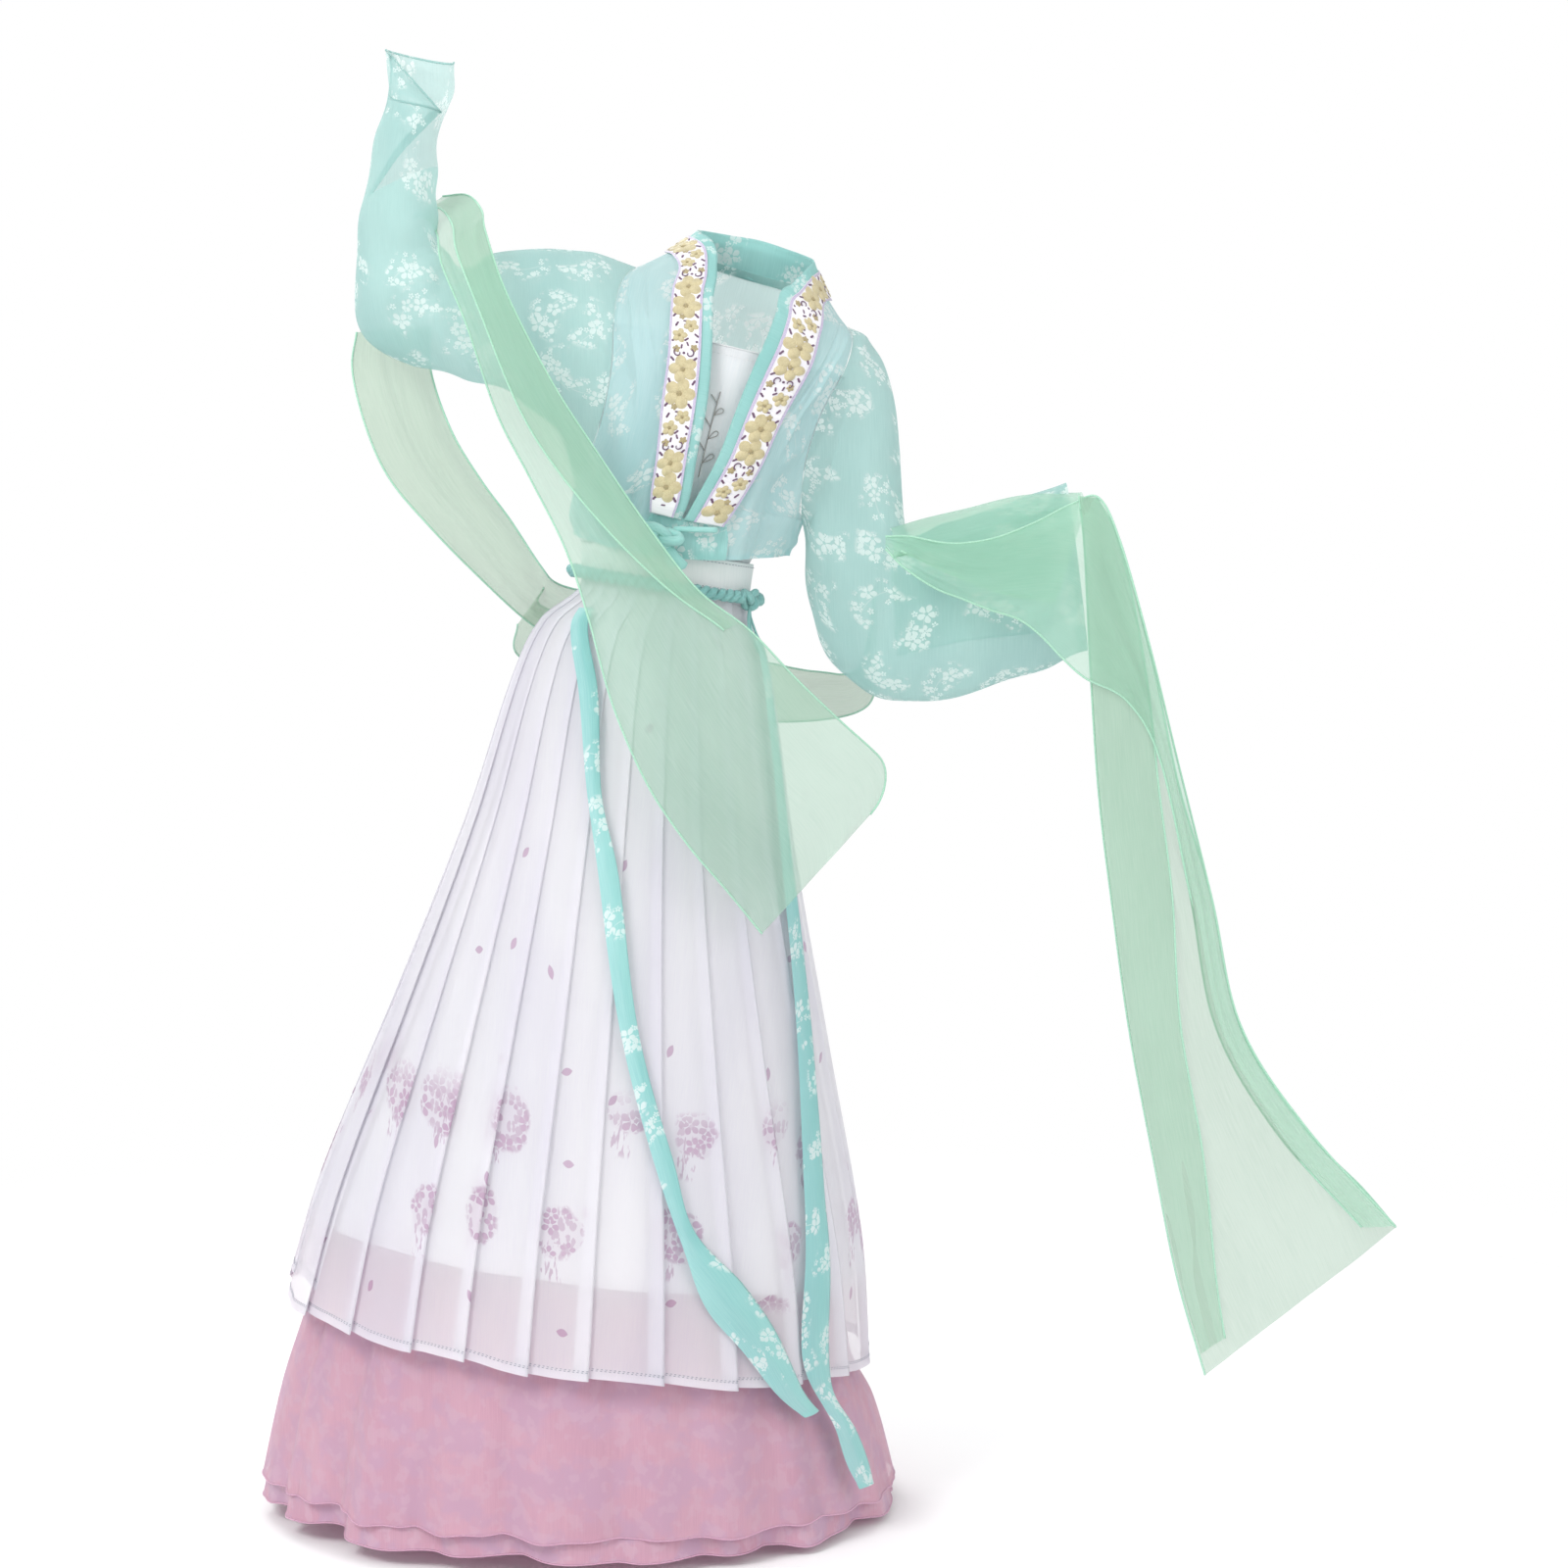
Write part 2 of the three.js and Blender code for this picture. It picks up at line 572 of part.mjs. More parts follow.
const FRONT_TAIL = table(STRIP_COLUMNS, [
  [0, 100, -182, -391, 243, -150, -236, 4],
  [1, 61, -196, -341, 216, -166, -206, 10],
  [2, 23, -204, -295, 181, -176, -174, 14],
  [3, -16, -206, -236, 135, -180, -130, 16],
  [4, -51, -196, -157, 88, -176, -81, 16],
  [5, -77, -170, -68, 35, -168, -40, 14],
  [6, -102, -140, 2, -16, -156, 24, 12],
  [7, -140, -120, 76, -73, -146, 107, 10],
  [8, -174, -112, 142, -116, -136, 174, 8],
  [9, -206, -108, 235, -162, -122, 263, 6],
  [10, -226, -106, 303, -190, -112, 324, 4],
  [11, -232, -104, 360, -225, -106, 371, 2],
]);
const BACK_LOOP = table(STRIP_COLUMNS, [
  [0, -165, 60, -74, -136, 40, -36, 4],
  [1, -215, 20, -40, -152, 30, -10, 8],
  [2, -254, -6, 0, -177, 16, 31, 10],
  [3, -292, -20, 52, -213, 6, 94, 10],
  [4, -317, -20, 101, -238, 0, 145, 10],
  [5, -333, -12, 168, -260, 4, 189, 6],
]);
const BACK_STRETCH = table(STRIP_COLUMNS, [
  [0, -168, 66, -80, -138, 46, -40, 0],
  [1, -172, 128, -116, -146, 112, -60, -10],
  [2, -110, 196, -156, -96, 176, -80, -20],
  [3, -10, 216, -182, -4, 200, -104, -20],
  [4, 90, 196, -192, 88, 180, -122, -16],
  [5, 166, 146, -188, 160, 136, -134, -8],
  [6, 212, 92, -172, 206, 86, -126, -4],
  [7, 226, 62, -140, 222, 60, -40, 0],
]);

// The scarf lies over the left forearm. Each section has its place along the arm (x), the depth
// at which the arm's centre lies (y), the top of the fold, the lower edges in front and behind,
// and the fold's half depth.
const ARM_DRAPE = table(['s', 'x', 'topX', 'y', 'top', 'front', 'back', 'half'], [
  [0, 262, 266, -38, 40, -30, -130, 60],
  [1, 280, 286, -50, 44, -42, -122, 56],
  [2, 310, 324, -66, 54, -52, -130, 52],
  [3, 351, 370, -82, 68, -64, -140, 48],
  [4, 406, 414, -94, 84, -96, -150, 44],
]);

function armDrape(name) {
  const grid = steps(8, 0, ARM_DRAPE.length - 1).map((s) => {
    const value = (column) => read(ARM_DRAPE, 's', column, s);
    const half = value('half');
    const shoulder = value('top') - half / 2;
    const side = (lower, sign) => (t) => new THREE.Vector3(
      mix(value('x'), value('topX'), t), value('y') + sign * half, mix(lower, shoulder, t));
    const arch = steps(4, -1, 1).map((t) => new THREE.Vector3(
      value('topX'), value('y') + half * 0.8 * t, value('top') - half / 4 * t * t));
    return [...steps(2).map(side(value('front'), -1)), ...arch,
      ...steps(2, 1, 0).map(side(value('back'), 1))];
  });
  return wall(name, grid, COLOURS.scarf);
}

const LEFT_TAIL = table(STRIP_COLUMNS, [
  [0, 561, -152, -856, 761, -138, -704, 4],
  [1, 530, -154, -750, 725, -142, -662, 12],
  [2, 507, -156, -637, 663, -146, -598, 16],
  [3, 479, -158, -493, 596, -150, -494, 14],
  [4, 460, -160, -361, 564, -152, -357, 12],
  [5, 446, -160, -250, 530, -152, -245, 10],
  [6, 437, -160, -129, 502, -154, -119, 6],
  [7, 430, -158, 0, 468, -156, 6, 4],
  [8, 424, -156, 56, 442, -156, 54, 2],
]);

// ---------------------------------------------------------------- the robe

const robe = new THREE.Group();
robe.add(
  jacketBack('jacket_back'),
  jacketFront('jacket_front_right', -1),
  jacketFront('jacket_front_left', 1),
  jacketTieTab('jacket_tie_tab'),
  rightSleeve('sleeve_right'),
  leftSleeve('sleeve_left'),
  wall('collar_band', collarGrid, COLOURS.jacket),
  wall('collar_trim', collarGrid, COLOURS.trim, { lift: CLOTH + LAID_ON, holds: underTrim }),
  ringTube('camisole', CAMISOLE, steps(3, CAMISOLE_HEM, CAMISOLE_TOP), 20, COLOURS.camisole),
  ringTube('waistband', WAISTBAND, [-WAISTBAND_HEIGHT, 0], 32, COLOURS.skirt),
  skirtPanel('skirt_front', frontTurns),
  skirtPanel('skirt_back', backTurns),
  ringTube('skirt_lining', SKIRT, [LINING_HEM, ...HIP_ROWS], TUBE_TURNS, COLOURS.lining, LINING_OUT),
  ringTube('underskirt', UNDERSKIRT, [UNDERSKIRT_HEM, SKIRT_HEM, ...HIP_ROWS], TUBE_TURNS,
    COLOURS.underskirt),
  ringTube('underskirt_lining', UNDERSKIRT, [UNDERLINING_HEM, SKIRT_HEM, ...HIP_ROWS], TUBE_TURNS,
    COLOURS.underskirt, UNDERLINING_OUT),
  beltCord('belt_cord'),
  beltKnot('belt_knot'),
  jacketKnot('jacket_knot'),
  ribbon('ribbon_right', RIGHT_RIBBON),
  ribbon('ribbon_left', LEFT_RIBBON),
  wall('scarf_front_tail', stripGrid(FRONT_TAIL, 11, 6), COLOURS.scarf),
  wall('scarf_back_loop', stripGrid(BACK_LOOP, 5, 4), COLOURS.scarf),
  wall('scarf_back', stripGrid(BACK_STRETCH, 10, 3), COLOURS.scarf),
  armDrape('scarf_arm_drape'),
  wall('scarf_left_tail', stripGrid(LEFT_TAIL, 9, 5), COLOURS.scarf),
);

export default robe;
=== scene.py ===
"""A hanfu robe as a worn set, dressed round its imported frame.

Metres, +Z up, the front toward -Y, +X to the wearer's left. The origin is the centre of the
waistband's top edge. Every cloth is a surface of two parameters worked out as whole arrays.
"""

import logging
import math
from dataclasses import dataclass
from enum import Enum
from typing import Callable, Sequence

import bpy
import numpy as np
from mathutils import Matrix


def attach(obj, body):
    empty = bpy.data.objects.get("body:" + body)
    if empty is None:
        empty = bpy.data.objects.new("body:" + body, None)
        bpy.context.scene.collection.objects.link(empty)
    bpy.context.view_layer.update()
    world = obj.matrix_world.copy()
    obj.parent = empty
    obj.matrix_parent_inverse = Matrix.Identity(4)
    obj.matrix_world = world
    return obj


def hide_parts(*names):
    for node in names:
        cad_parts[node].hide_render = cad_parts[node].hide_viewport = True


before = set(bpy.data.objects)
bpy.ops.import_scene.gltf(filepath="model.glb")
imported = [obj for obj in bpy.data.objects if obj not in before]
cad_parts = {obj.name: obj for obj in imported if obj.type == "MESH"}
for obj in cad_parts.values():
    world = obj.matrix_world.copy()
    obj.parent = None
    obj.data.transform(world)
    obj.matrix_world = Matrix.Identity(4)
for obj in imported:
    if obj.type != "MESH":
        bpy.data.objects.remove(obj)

Array = np.ndarray
Table = tuple[tuple[float, ...], ...]
Colour = tuple[float, float, float]
MM = 0.001
BODY = "root"
LOG = logging.getLogger("robe")


# ---------------------------------------------------------------- tables and surfaces

def read(rows: Table | Array, at: Array) -> Array:
    """Reads a table smoothly at values of its first column.

    Between two rows each value follows a cubic whose slope at a row is the slope between that
    row's two neighbours.

    Args:
        rows: the table, rising by its first column.
        at: where to read it, held within its first and last row.

    Returns:
        An array of the shape of ``at`` with one more axis, for the other columns.
    """
    data = np.asarray(rows, float)
    keys, values = data[:, 0], data[:, 1:]
    count = len(keys)
    index = np.arange(count)
    low, high = np.maximum(index - 1, 0), np.minimum(index + 1, count - 1)
    slopes = (values[high] - values[low]) / (keys[high] - keys[low])[:, None]
    x = np.clip(np.asarray(at, float), keys[0], keys[-1])
    k = np.clip(np.searchsorted(keys, x, side="left") - 1, 0, count - 2)
    span = (keys[k + 1] - keys[k])[..., None]
    t = (x - keys[k])[..., None] / span
    return ((2 * t**3 - 3 * t**2 + 1) * values[k] + (t**3 - 2 * t**2 + t) * span * slopes[k]
            + (3 * t**2 - 2 * t**3) * values[k + 1] + (t**3 - t**2) * span * slopes[k + 1])


def mix(a: Array | float, b: Array | float, share: Array | float) -> Array:
    """Returns a plus share times the way from a to b."""
    return a + (b - a) * share


def ease(low: float, high: float, x: Array | float) -> Array:
    """Returns a smooth step from 0 at low to 1 at high."""
    t = np.clip((np.asarray(x, float) - low) / (high - low), 0, 1)
    return t * t * (3 - 2 * t)


def drift(u: Array, v: Array, seed: int) -> Array:
    """Smooth heights from -1 to 1: random values on a unit lattice, joined by eased steps.

    Args:
        u, v: coordinates, one lattice step per unit.
        seed: which lattice.

    Returns:
        The height at each coordinate.
    """
    size = 64
    lattice = np.random.default_rng(seed).uniform(-1, 1, (size, size))
    u, v = np.broadcast_arrays(np.asarray(u, float), np.asarray(v, float))
    iu, iv = np.floor(u).astype(int), np.floor(v).astype(int)
    fu, fv = u - iu, v - iv
    fu, fv = fu**3 * (fu * (fu * 6 - 15) + 10), fv**3 * (fv * (fv * 6 - 15) + 10)
    a, b = iu % size, iv % size
    c, d = (iu + 1) % size, (iv + 1) % size
    return mix(mix(lattice[a, b], lattice[c, b], fu), mix(lattice[a, d], lattice[c, d], fu), fv)


def folds(across: Array, along: Array, count: float, seed: int) -> Array:
    """Uneven soft folds, from -1 to 1: a sine across the cloth whose phase wanders along it."""
    phase = across * count + 0.7 * drift(across * count * 0.6, along * 1.3, seed)
    return np.sin(2 * np.pi * phase) * (0.65 + 0.35 * drift(across * 3, along * 2, seed + 1))


def crease(u: Array, v: Array, start: Sequence[float], end: Sequence[float], width: float,
           height: float) -> Array:
    """A ridge or trough along a line: a bell curve across it that fades at both of its ends.

    Args:
        u, v: the surface's two parameters.
        start, end: the line's ends in those parameters.
        width: the bell's half width in the same units.
        height: its height, negative for a trough.

    Returns:
        The height at each point.
    """
    du, dv = end[0] - start[0], end[1] - start[1]
    length = math.hypot(du, dv)
    along = ((u - start[0]) * du + (v - start[1]) * dv) / length**2
    off = ((u - start[0]) * dv - (v - start[1]) * du) / length
    fade = ease(-0.15, 0.25, along) * (1 - ease(0.7, 1.15, along))
    return height * fade * np.exp(-(off / width) ** 2)


def normals_of(points: Array, closed: bool = False) -> Array:
    """Unit normals of a grid of points, along (column direction) x (row direction)."""
    if closed:
        across = np.roll(points, -1, 1) - np.roll(points, 1, 1)
    else:
        across = np.gradient(points, axis=1)
    normal = np.cross(across, np.gradient(points, axis=0))
    return normal / np.maximum(np.linalg.norm(normal, axis=-1, keepdims=True), 1e-12)


def raised(points: Array, height: Array | float, closed: bool = False) -> Array:
    """Moves each point of a grid along its normal by a height in metres."""
    return points + normals_of(points, closed) * np.asarray(height)[..., None]


@dataclass(frozen=True)
class Rings:
    """A stack of oval rings: rows of rise, centre x and y, half width, half depth and roll."""

    rows: Table

    def at(self, rise: Array, angle: Array, out: Array | float = 0.0) -> Array:
        """Points on the rings: across is half width times sine, depth half depth times cosine.

        Args:
            rise: height on the body's axis, in millimetres.
            angle: degrees round it, 0 in front and 90 at the wearer's left.
            out: millimetres away from the axis.

        Returns:
            Points in metres.
        """
        rise, angle, out = np.broadcast_arrays(np.asarray(rise, float), angle, out)
        x, y, wide, deep, roll = np.moveaxis(read(self.rows, rise), -1, 0)
        turn = np.radians(angle)
        across = (wide + out) * np.sin(turn)
        lifted = rise + across * np.tan(np.radians(roll))
        return np.stack([x + across, y - (deep + out) * np.cos(turn), lifted], -1) * MM


# ---------------------------------------------------------------- meshes

@dataclass
class Patch:
    """A grid of points with its cloth coordinates in metres; closed joins its last column on."""

    points: Array
    uv: Array
    closed: bool = False


def patch(points: Array, closed: bool = False, origin: Sequence[float] = (0.0, 0.0)) -> Patch:
    """Makes a patch whose cloth coordinates are lengths measured along the cloth.

    The first coordinate is the length along a row from its middle column, the second the mean
    height of the row, added up from the first row.

    Args:
        points: rows x columns x 3.
        closed: whether the last column joins the first.
        origin: added to the coordinates, to shift a printed pattern.

    Returns:
        The patch.
    """
    ring = np.concatenate([points, points[:, :1]], 1) if closed else points
    steps = np.linalg.norm(np.diff(ring, axis=1), axis=-1)
    u = np.concatenate([np.zeros((len(ring), 1)), np.cumsum(steps, 1)], 1)
    u = u - u[:, u.shape[1] // 2][:, None]
    rises = np.linalg.norm(np.diff(ring, axis=0), axis=-1)
    v = np.concatenate([np.zeros((1, ring.shape[1])), np.cumsum(rises, 0)], 0)
    return Patch(points, np.stack([u + origin[0], v + origin[1]], -1), closed)


def facing(points: Array, turn: Array, closed: bool = False,
           origin: Sequence[float] = (0.0, 0.0)) -> Patch:
    """Makes a patch of a bag of cloth: its cloth coordinates run across and up, and are drawn
    out round both of the bag's edges so that a print keeps its shape there.

    Args:
        points: the grid; each row is a section of the bag.
        turn: degrees round the bag at each column: 90 one edge, -90 the other.
        closed: whether the columns go all the way round.
        origin: where the cloth coordinates start.

    Returns:
        The patch.
    """
    sine, cosine = np.sin(np.radians(turn)), np.cos(np.radians(turn))
    edge = (points[:, np.argmax(sine)] - points[:, np.argmin(sine)])[:, [0, 2]]
    edge /= np.linalg.norm(edge, axis=-1, keepdims=True)
    half = np.ptp(points[..., 1], axis=1) / 2
    reach = half[:, None] * np.sign(sine) * (1 - np.abs(cosine))
    plane = points[..., [0, 2]] + edge[:, None, :] * reach[..., None] + np.asarray(origin)
    return Patch(points, np.concatenate([plane, plane[:, :1]], 1) if closed else plane, closed)


def turned_hem(cloth: Patch, side: str, width: float = 0.008, gap: float = 0.0008) -> Patch:
    """A hem turned to the inside: a narrow band that follows one edge, a gap behind the cloth.

    Args:
        cloth: the patch it belongs to.
        side: "low", "high", "left" or "right".
        width: how far the band reaches in from the edge.
        gap: how far behind the cloth it lies.

    Returns:
        The band, facing inward.
    """
    turn = side in ("left", "right")
    points, uv, normal = cloth.points, cloth.uv, normals_of(cloth.points, cloth.closed)
    if turn:
        points, uv, normal = (np.swapaxes(a, 0, 1) for a in (points, uv, normal))
    last = side in ("high", "right")
    edge, near = (-1, -3) if last else (0, 2)
    inward = points[near] - points[edge]
    inward = inward / np.maximum(np.linalg.norm(inward, axis=-1, keepdims=True), 1e-9)
    t = np.array([0.0, 0.06, 0.5, 1.0])[:, None, None]
    off = gap * np.array([0.35, 1.0, 1.0, 1.0])[:, None, None]
    band = points[edge] + inward * width * t - normal[edge] * off
    flat = np.sign(uv[near] - uv[edge])
    flat[..., 0 if not turn else 1] = 0
    band_uv = uv[edge] + flat * width * t
    if turn != last:
        return Patch(band, band_uv, cloth.closed and not turn)
    return Patch(band[::-1], band_uv[::-1], cloth.closed and not turn)


def tube(path: Array, radius: Array | float, sides: int = 8, up: Array | None = None,
         flatten: float = 1.0) -> Patch:
    """A round tube along a path, drawn in to a point at both ends.

    Each ring stands square to the path: radius times cosine along "up", and radius times
    flatten times sine across it.

    Args:
        path: points in metres.
        radius: one radius, or one for each point.
        sides: points round it.
        up: a direction for each point, or one for all, that fixes how it is turned.
        flatten: its width across "up", as a share of the radius.

    Returns:
        The closed patch.
    """
    along = np.gradient(path, axis=0)
    along /= np.maximum(np.linalg.norm(along, axis=-1, keepdims=True), 1e-12)
    up = np.broadcast_to(np.array([0.0, 0.0, 1.0]) if up is None else up, path.shape)
    first = up - (up * along).sum(-1, keepdims=True) * along
    first /= np.maximum(np.linalg.norm(first, axis=-1, keepdims=True), 1e-9)
    second = np.cross(along, first)
    phi = 2 * np.pi * np.arange(sides) / sides
    radius = np.broadcast_to(np.asarray(radius, float), len(path)).copy()
    ring = (np.cos(phi)[None, :, None] * first[:, None]
            + flatten * np.sin(phi)[None, :, None] * second[:, None])
    body = path[:, None] + radius[:, None, None] * ring
    start = path[:1, None] + 0.02 * radius[0] * ring[:1] - 0.4 * radius[0] * along[:1, None]
    end = path[-1:, None] + 0.02 * radius[-1] * ring[-1:] + 0.4 * radius[-1] * along[-1:, None]
    return patch(np.concatenate([start, body, end]), closed=True)


def stitches(path: Array, normal: Array, pitch: float = 0.0045, length: float = 0.003,
             width: float = 0.0006) -> Patch:
    """A run of thread stitches: short flat spindles laid end to end along a path.

    Each stitch is a row of its own, so the patch's rows are joined only across a spindle: the
    middle row is wide, and both ends are drawn to a point and sink below the cloth.

    Args:
        path: points in metres, close together.
        normal: the cloth's normal at each.
        pitch: from one stitch to the next.
        length: of each stitch.
        width: of each stitch at its middle.

    Returns:
        One patch whose sunk links hide inside the cloth.
    """
    length_at = np.concatenate([[0], np.cumsum(np.linalg.norm(np.diff(path, axis=0), axis=-1))])
    count = max(int(length_at[-1] / pitch), 2)
    share = np.array([-0.5, -0.3, 0.3, 0.5]) * length
    at = (np.arange(count)[:, None] * pitch + pitch / 2 + share).ravel()
    centre = np.stack([np.interp(at, length_at, path[:, k]) for k in range(3)], -1)
    facing = np.stack([np.interp(at, length_at, normal[:, k]) for k in range(3)], -1)
    along = np.gradient(centre, axis=0)
    side = np.cross(along, facing)
    side /= np.maximum(np.linalg.norm(side, axis=-1, keepdims=True), 1e-12)
    wide = np.tile([0.15, 1.0, 1.0, 0.15], count)[:, None] * width / 2
    high = np.tile([-0.0006, 0.0005, 0.0005, -0.0006], count)[:, None]
    rows = [centre - side * wide + facing * (high - 0.0003), centre + facing * high,
            centre + side * wide + facing * (high - 0.0003)]
    return patch(np.stack(rows, 1))


def mesh_of(name: str, patches: Sequence[Patch]) -> bpy.types.Object:
    """Joins patches into one mesh object with a cloth coordinate map.

    Vertices at one place within a patch are shared, so that seams and poles are closed.

    Args:
        name: the piece's name.
        patches: its grids.

    Returns:
        The linked object, smooth shaded.
    """
    vertices, quads, coordinates, start = [], [], [], 0
    for part in patches:
        rows, columns = part.points.shape[:2]
        wide = columns if part.closed else columns - 1
        i, j = np.meshgrid(np.arange(rows - 1), np.arange(wide), indexing="ij")
        corner = [(i, j), (i, j + 1), (i + 1, j + 1), (i + 1, j)]
        quads.append(start + np.stack([a * columns + b % columns for a, b in corner], -1)
                     .reshape(-1, 4))
        coordinates.append(np.stack([part.uv[a, b] for a, b in corner], 2).reshape(-1, 2))
        vertices.append(part.points.reshape(-1, 3))
        start += rows * columns
    points = np.concatenate(vertices)
    keys = np.round(points / 2e-6).astype(np.int64)
    _, first, index = np.unique(keys, axis=0, return_index=True, return_inverse=True)
    faces, uv = index.ravel()[np.concatenate(quads)], np.concatenate(coordinates)
    name = name.replace(" ", "_")
    twice = [faces[:, k] == faces[:, (k + 1) % 4] for k in range(4)]
    whole = np.sum(twice, 0) < 2
    mesh = bpy.data.meshes.new(name)
    faces, uv, twice = faces[whole], uv.reshape(-1, 4, 2)[whole], np.stack(twice, 1)[whole]
    lists = [[int(v) for v, skip in zip(face, same) if not skip]
             for face, same in zip(faces.tolist(), twice.tolist())]
    mesh.from_pydata(points[first], [], lists)
    mesh.uv_layers.new(name="cloth").data.foreach_set("uv", uv[~twice].ravel().astype(np.float32))
    mesh.polygons.foreach_set("use_smooth", np.ones(len(mesh.polygons), bool))
    mesh.update()
    thing = bpy.data.objects.new(name, mesh)
    bpy.context.scene.collection.objects.link(thing)
    return thing


def thickened(thing: bpy.types.Object, thickness: float) -> bpy.types.Object:
    """Gives a piece a wall of cloth, half to each side."""
    wall = thing.modifiers.new("wall", "SOLIDIFY")
    wall.thickness = thickness
    wall.offset = 0.0
    return thing


# ---------------------------------------------------------------- finishes

def linear(red: int, green: int, blue: int) -> tuple[float, float, float, float]:
    """Turns a screen colour, 0 to 255, into a shader colour."""
    parts = [c / 255 for c in (red, green, blue)]
    return (*[c / 12.92 if c <= 0.04045 else ((c + 0.055) / 1.055) ** 2.4 for c in parts], 1.0)


class Print(Enum):
    """What is woven into or printed on a cloth."""

    PLAIN = "plain"
    BLOSSOM = "white blossom sprays"
    BORDER = "mauve bouquets over the hem and falling petals"
    CLOUDS = "soft clouds of lilac and pink"
    TWIST = "twisted threads"


class Graph:
    """A material's node tree, with short ways to add its nodes."""

    def __init__(self, name: str) -> None:
        """Starts an empty tree."""
        self.material = bpy.data.materials.new(name)
        self.material.use_nodes = True
        self.tree = self.material.node_tree
        self.tree.nodes.clear()

    def node(self, kind: str, inputs: dict | None = None, **settings) -> bpy.types.Node:
        """Adds a node; an input's value is a socket to link or a constant to set."""
        node = self.tree.nodes.new("ShaderNode" + kind)
        for key, value in settings.items():
            setattr(node, key, value)
        for key, value in (inputs or {}).items():
            if isinstance(value, bpy.types.NodeSocket):
                self.tree.links.new(value, node.inputs[key])
            else:
                node.inputs[key].default_value = value
        return node

    def math(self, operation: str, a, b=0.0, clamp: bool = False) -> bpy.types.NodeSocket:
        """Returns an arithmetic node's output."""
        return self.node("Math", {0: a, 1: b}, operation=operation, use_clamp=clamp).outputs[0]

    def step(self, value, low: float, high: float) -> bpy.types.NodeSocket:
        """Returns 0 at low, 1 at high and a smooth step between, low may be over high."""
        return self.node("MapRange", {"Value": value, "From Min": low, "From Max": high},
                         interpolation_type="SMOOTHSTEP").outputs[0]

    def mixed(self, share, a, b) -> bpy.types.NodeSocket:
        """Returns a colour between two."""
        return self.node("Mix", {0: share, 6: a, 7: b}, data_type="RGBA").outputs[2]

    def split(self, vector) -> list[bpy.types.NodeSocket]:
        """Returns a vector's three parts."""
        return list(self.node("SeparateXYZ", {0: vector}).outputs)

    def noise(self, place, scale: float, detail: float = 2.0) -> bpy.types.NodeSocket:
        """Returns noise from 0 to 1."""
        return self.node("TexNoise", {"Vector": place, "Scale": scale, "Detail": detail}
                         ).outputs[0]

    def stretched(self, place, across: float, along: float, shift: float = 0.0):
        """Returns cloth coordinates scaled differently across and along the cloth."""
        return self.node("Mapping", {"Vector": place, "Location": (shift, shift, 0.0),
                                     "Scale": (across, along, 1.0)}).outputs[0]

    def cells(self, place, size: float, spread: float = 0.8):
        """Scatters points over the cloth, one to a cell.

        Args:
            place: cloth coordinates.
            size: a cell's width in metres.
            spread: 0 for an even grid, 1 for a random one.

        Returns:
            The distance to the nearest point, its angle, and three random shares for it.
        """
        found = self.node("TexVoronoi", {"Vector": place, "Scale": 1 / size,
                                         "Randomness": spread}, voronoi_dimensions="2D")
        local = self.node("VectorMath", {0: place, 1: found.outputs["Position"]},
                          operation="SUBTRACT").outputs[0]
        x, y, _ = self.split(local)
        chance = list(self.node("SeparateColor", {0: found.outputs["Color"]}).outputs)
        length = self.node("VectorMath", {0: local}, operation="LENGTH").outputs["Value"]
        angle = self.math("ARCTAN2", y, x)
        return length, angle, chance, x, y

    def petals(self, place, cell: float, size: float, keep, spread: float = 0.8,
               lobes: int = 5) -> bpy.types.NodeSocket:
        """Blossoms, one to a cell: a petal's reach is size times (0.5 + 0.5 |cos|) of lobes
        times half the angle, the petals are parted where that lobe is low, and a blossom stands
        only where its random share is under keep."""
        length, angle, chance, _, _ = self.cells(place, cell, spread)
        turned = self.math("ADD", angle, self.math("MULTIPLY", chance[0], 6.283))
        lobe = self.math("ABSOLUTE", self.math("COSINE", self.math("MULTIPLY", turned, lobes / 2)))
        grown = self.math("MULTIPLY", self.math("ADD", self.math("MULTIPLY", chance[2], 0.4), 0.7),
                          size)
        reach = self.math("MULTIPLY", self.math("ADD", self.math("MULTIPLY", lobe, 0.5), 0.5),
                          grown)
        inside = self.step(self.math("SUBTRACT", length, reach), size * 0.08, -size * 0.08)
        apart = self.step(lobe, 0.22, 0.42)
        eye = self.step(length, size * 0.12, size * 0.24)
        inside = self.math("MULTIPLY", inside, apart)
        kept = self.math("LESS_THAN", chance[1], keep)
        return self.math("MULTIPLY", self.math("MULTIPLY", inside, eye), kept)


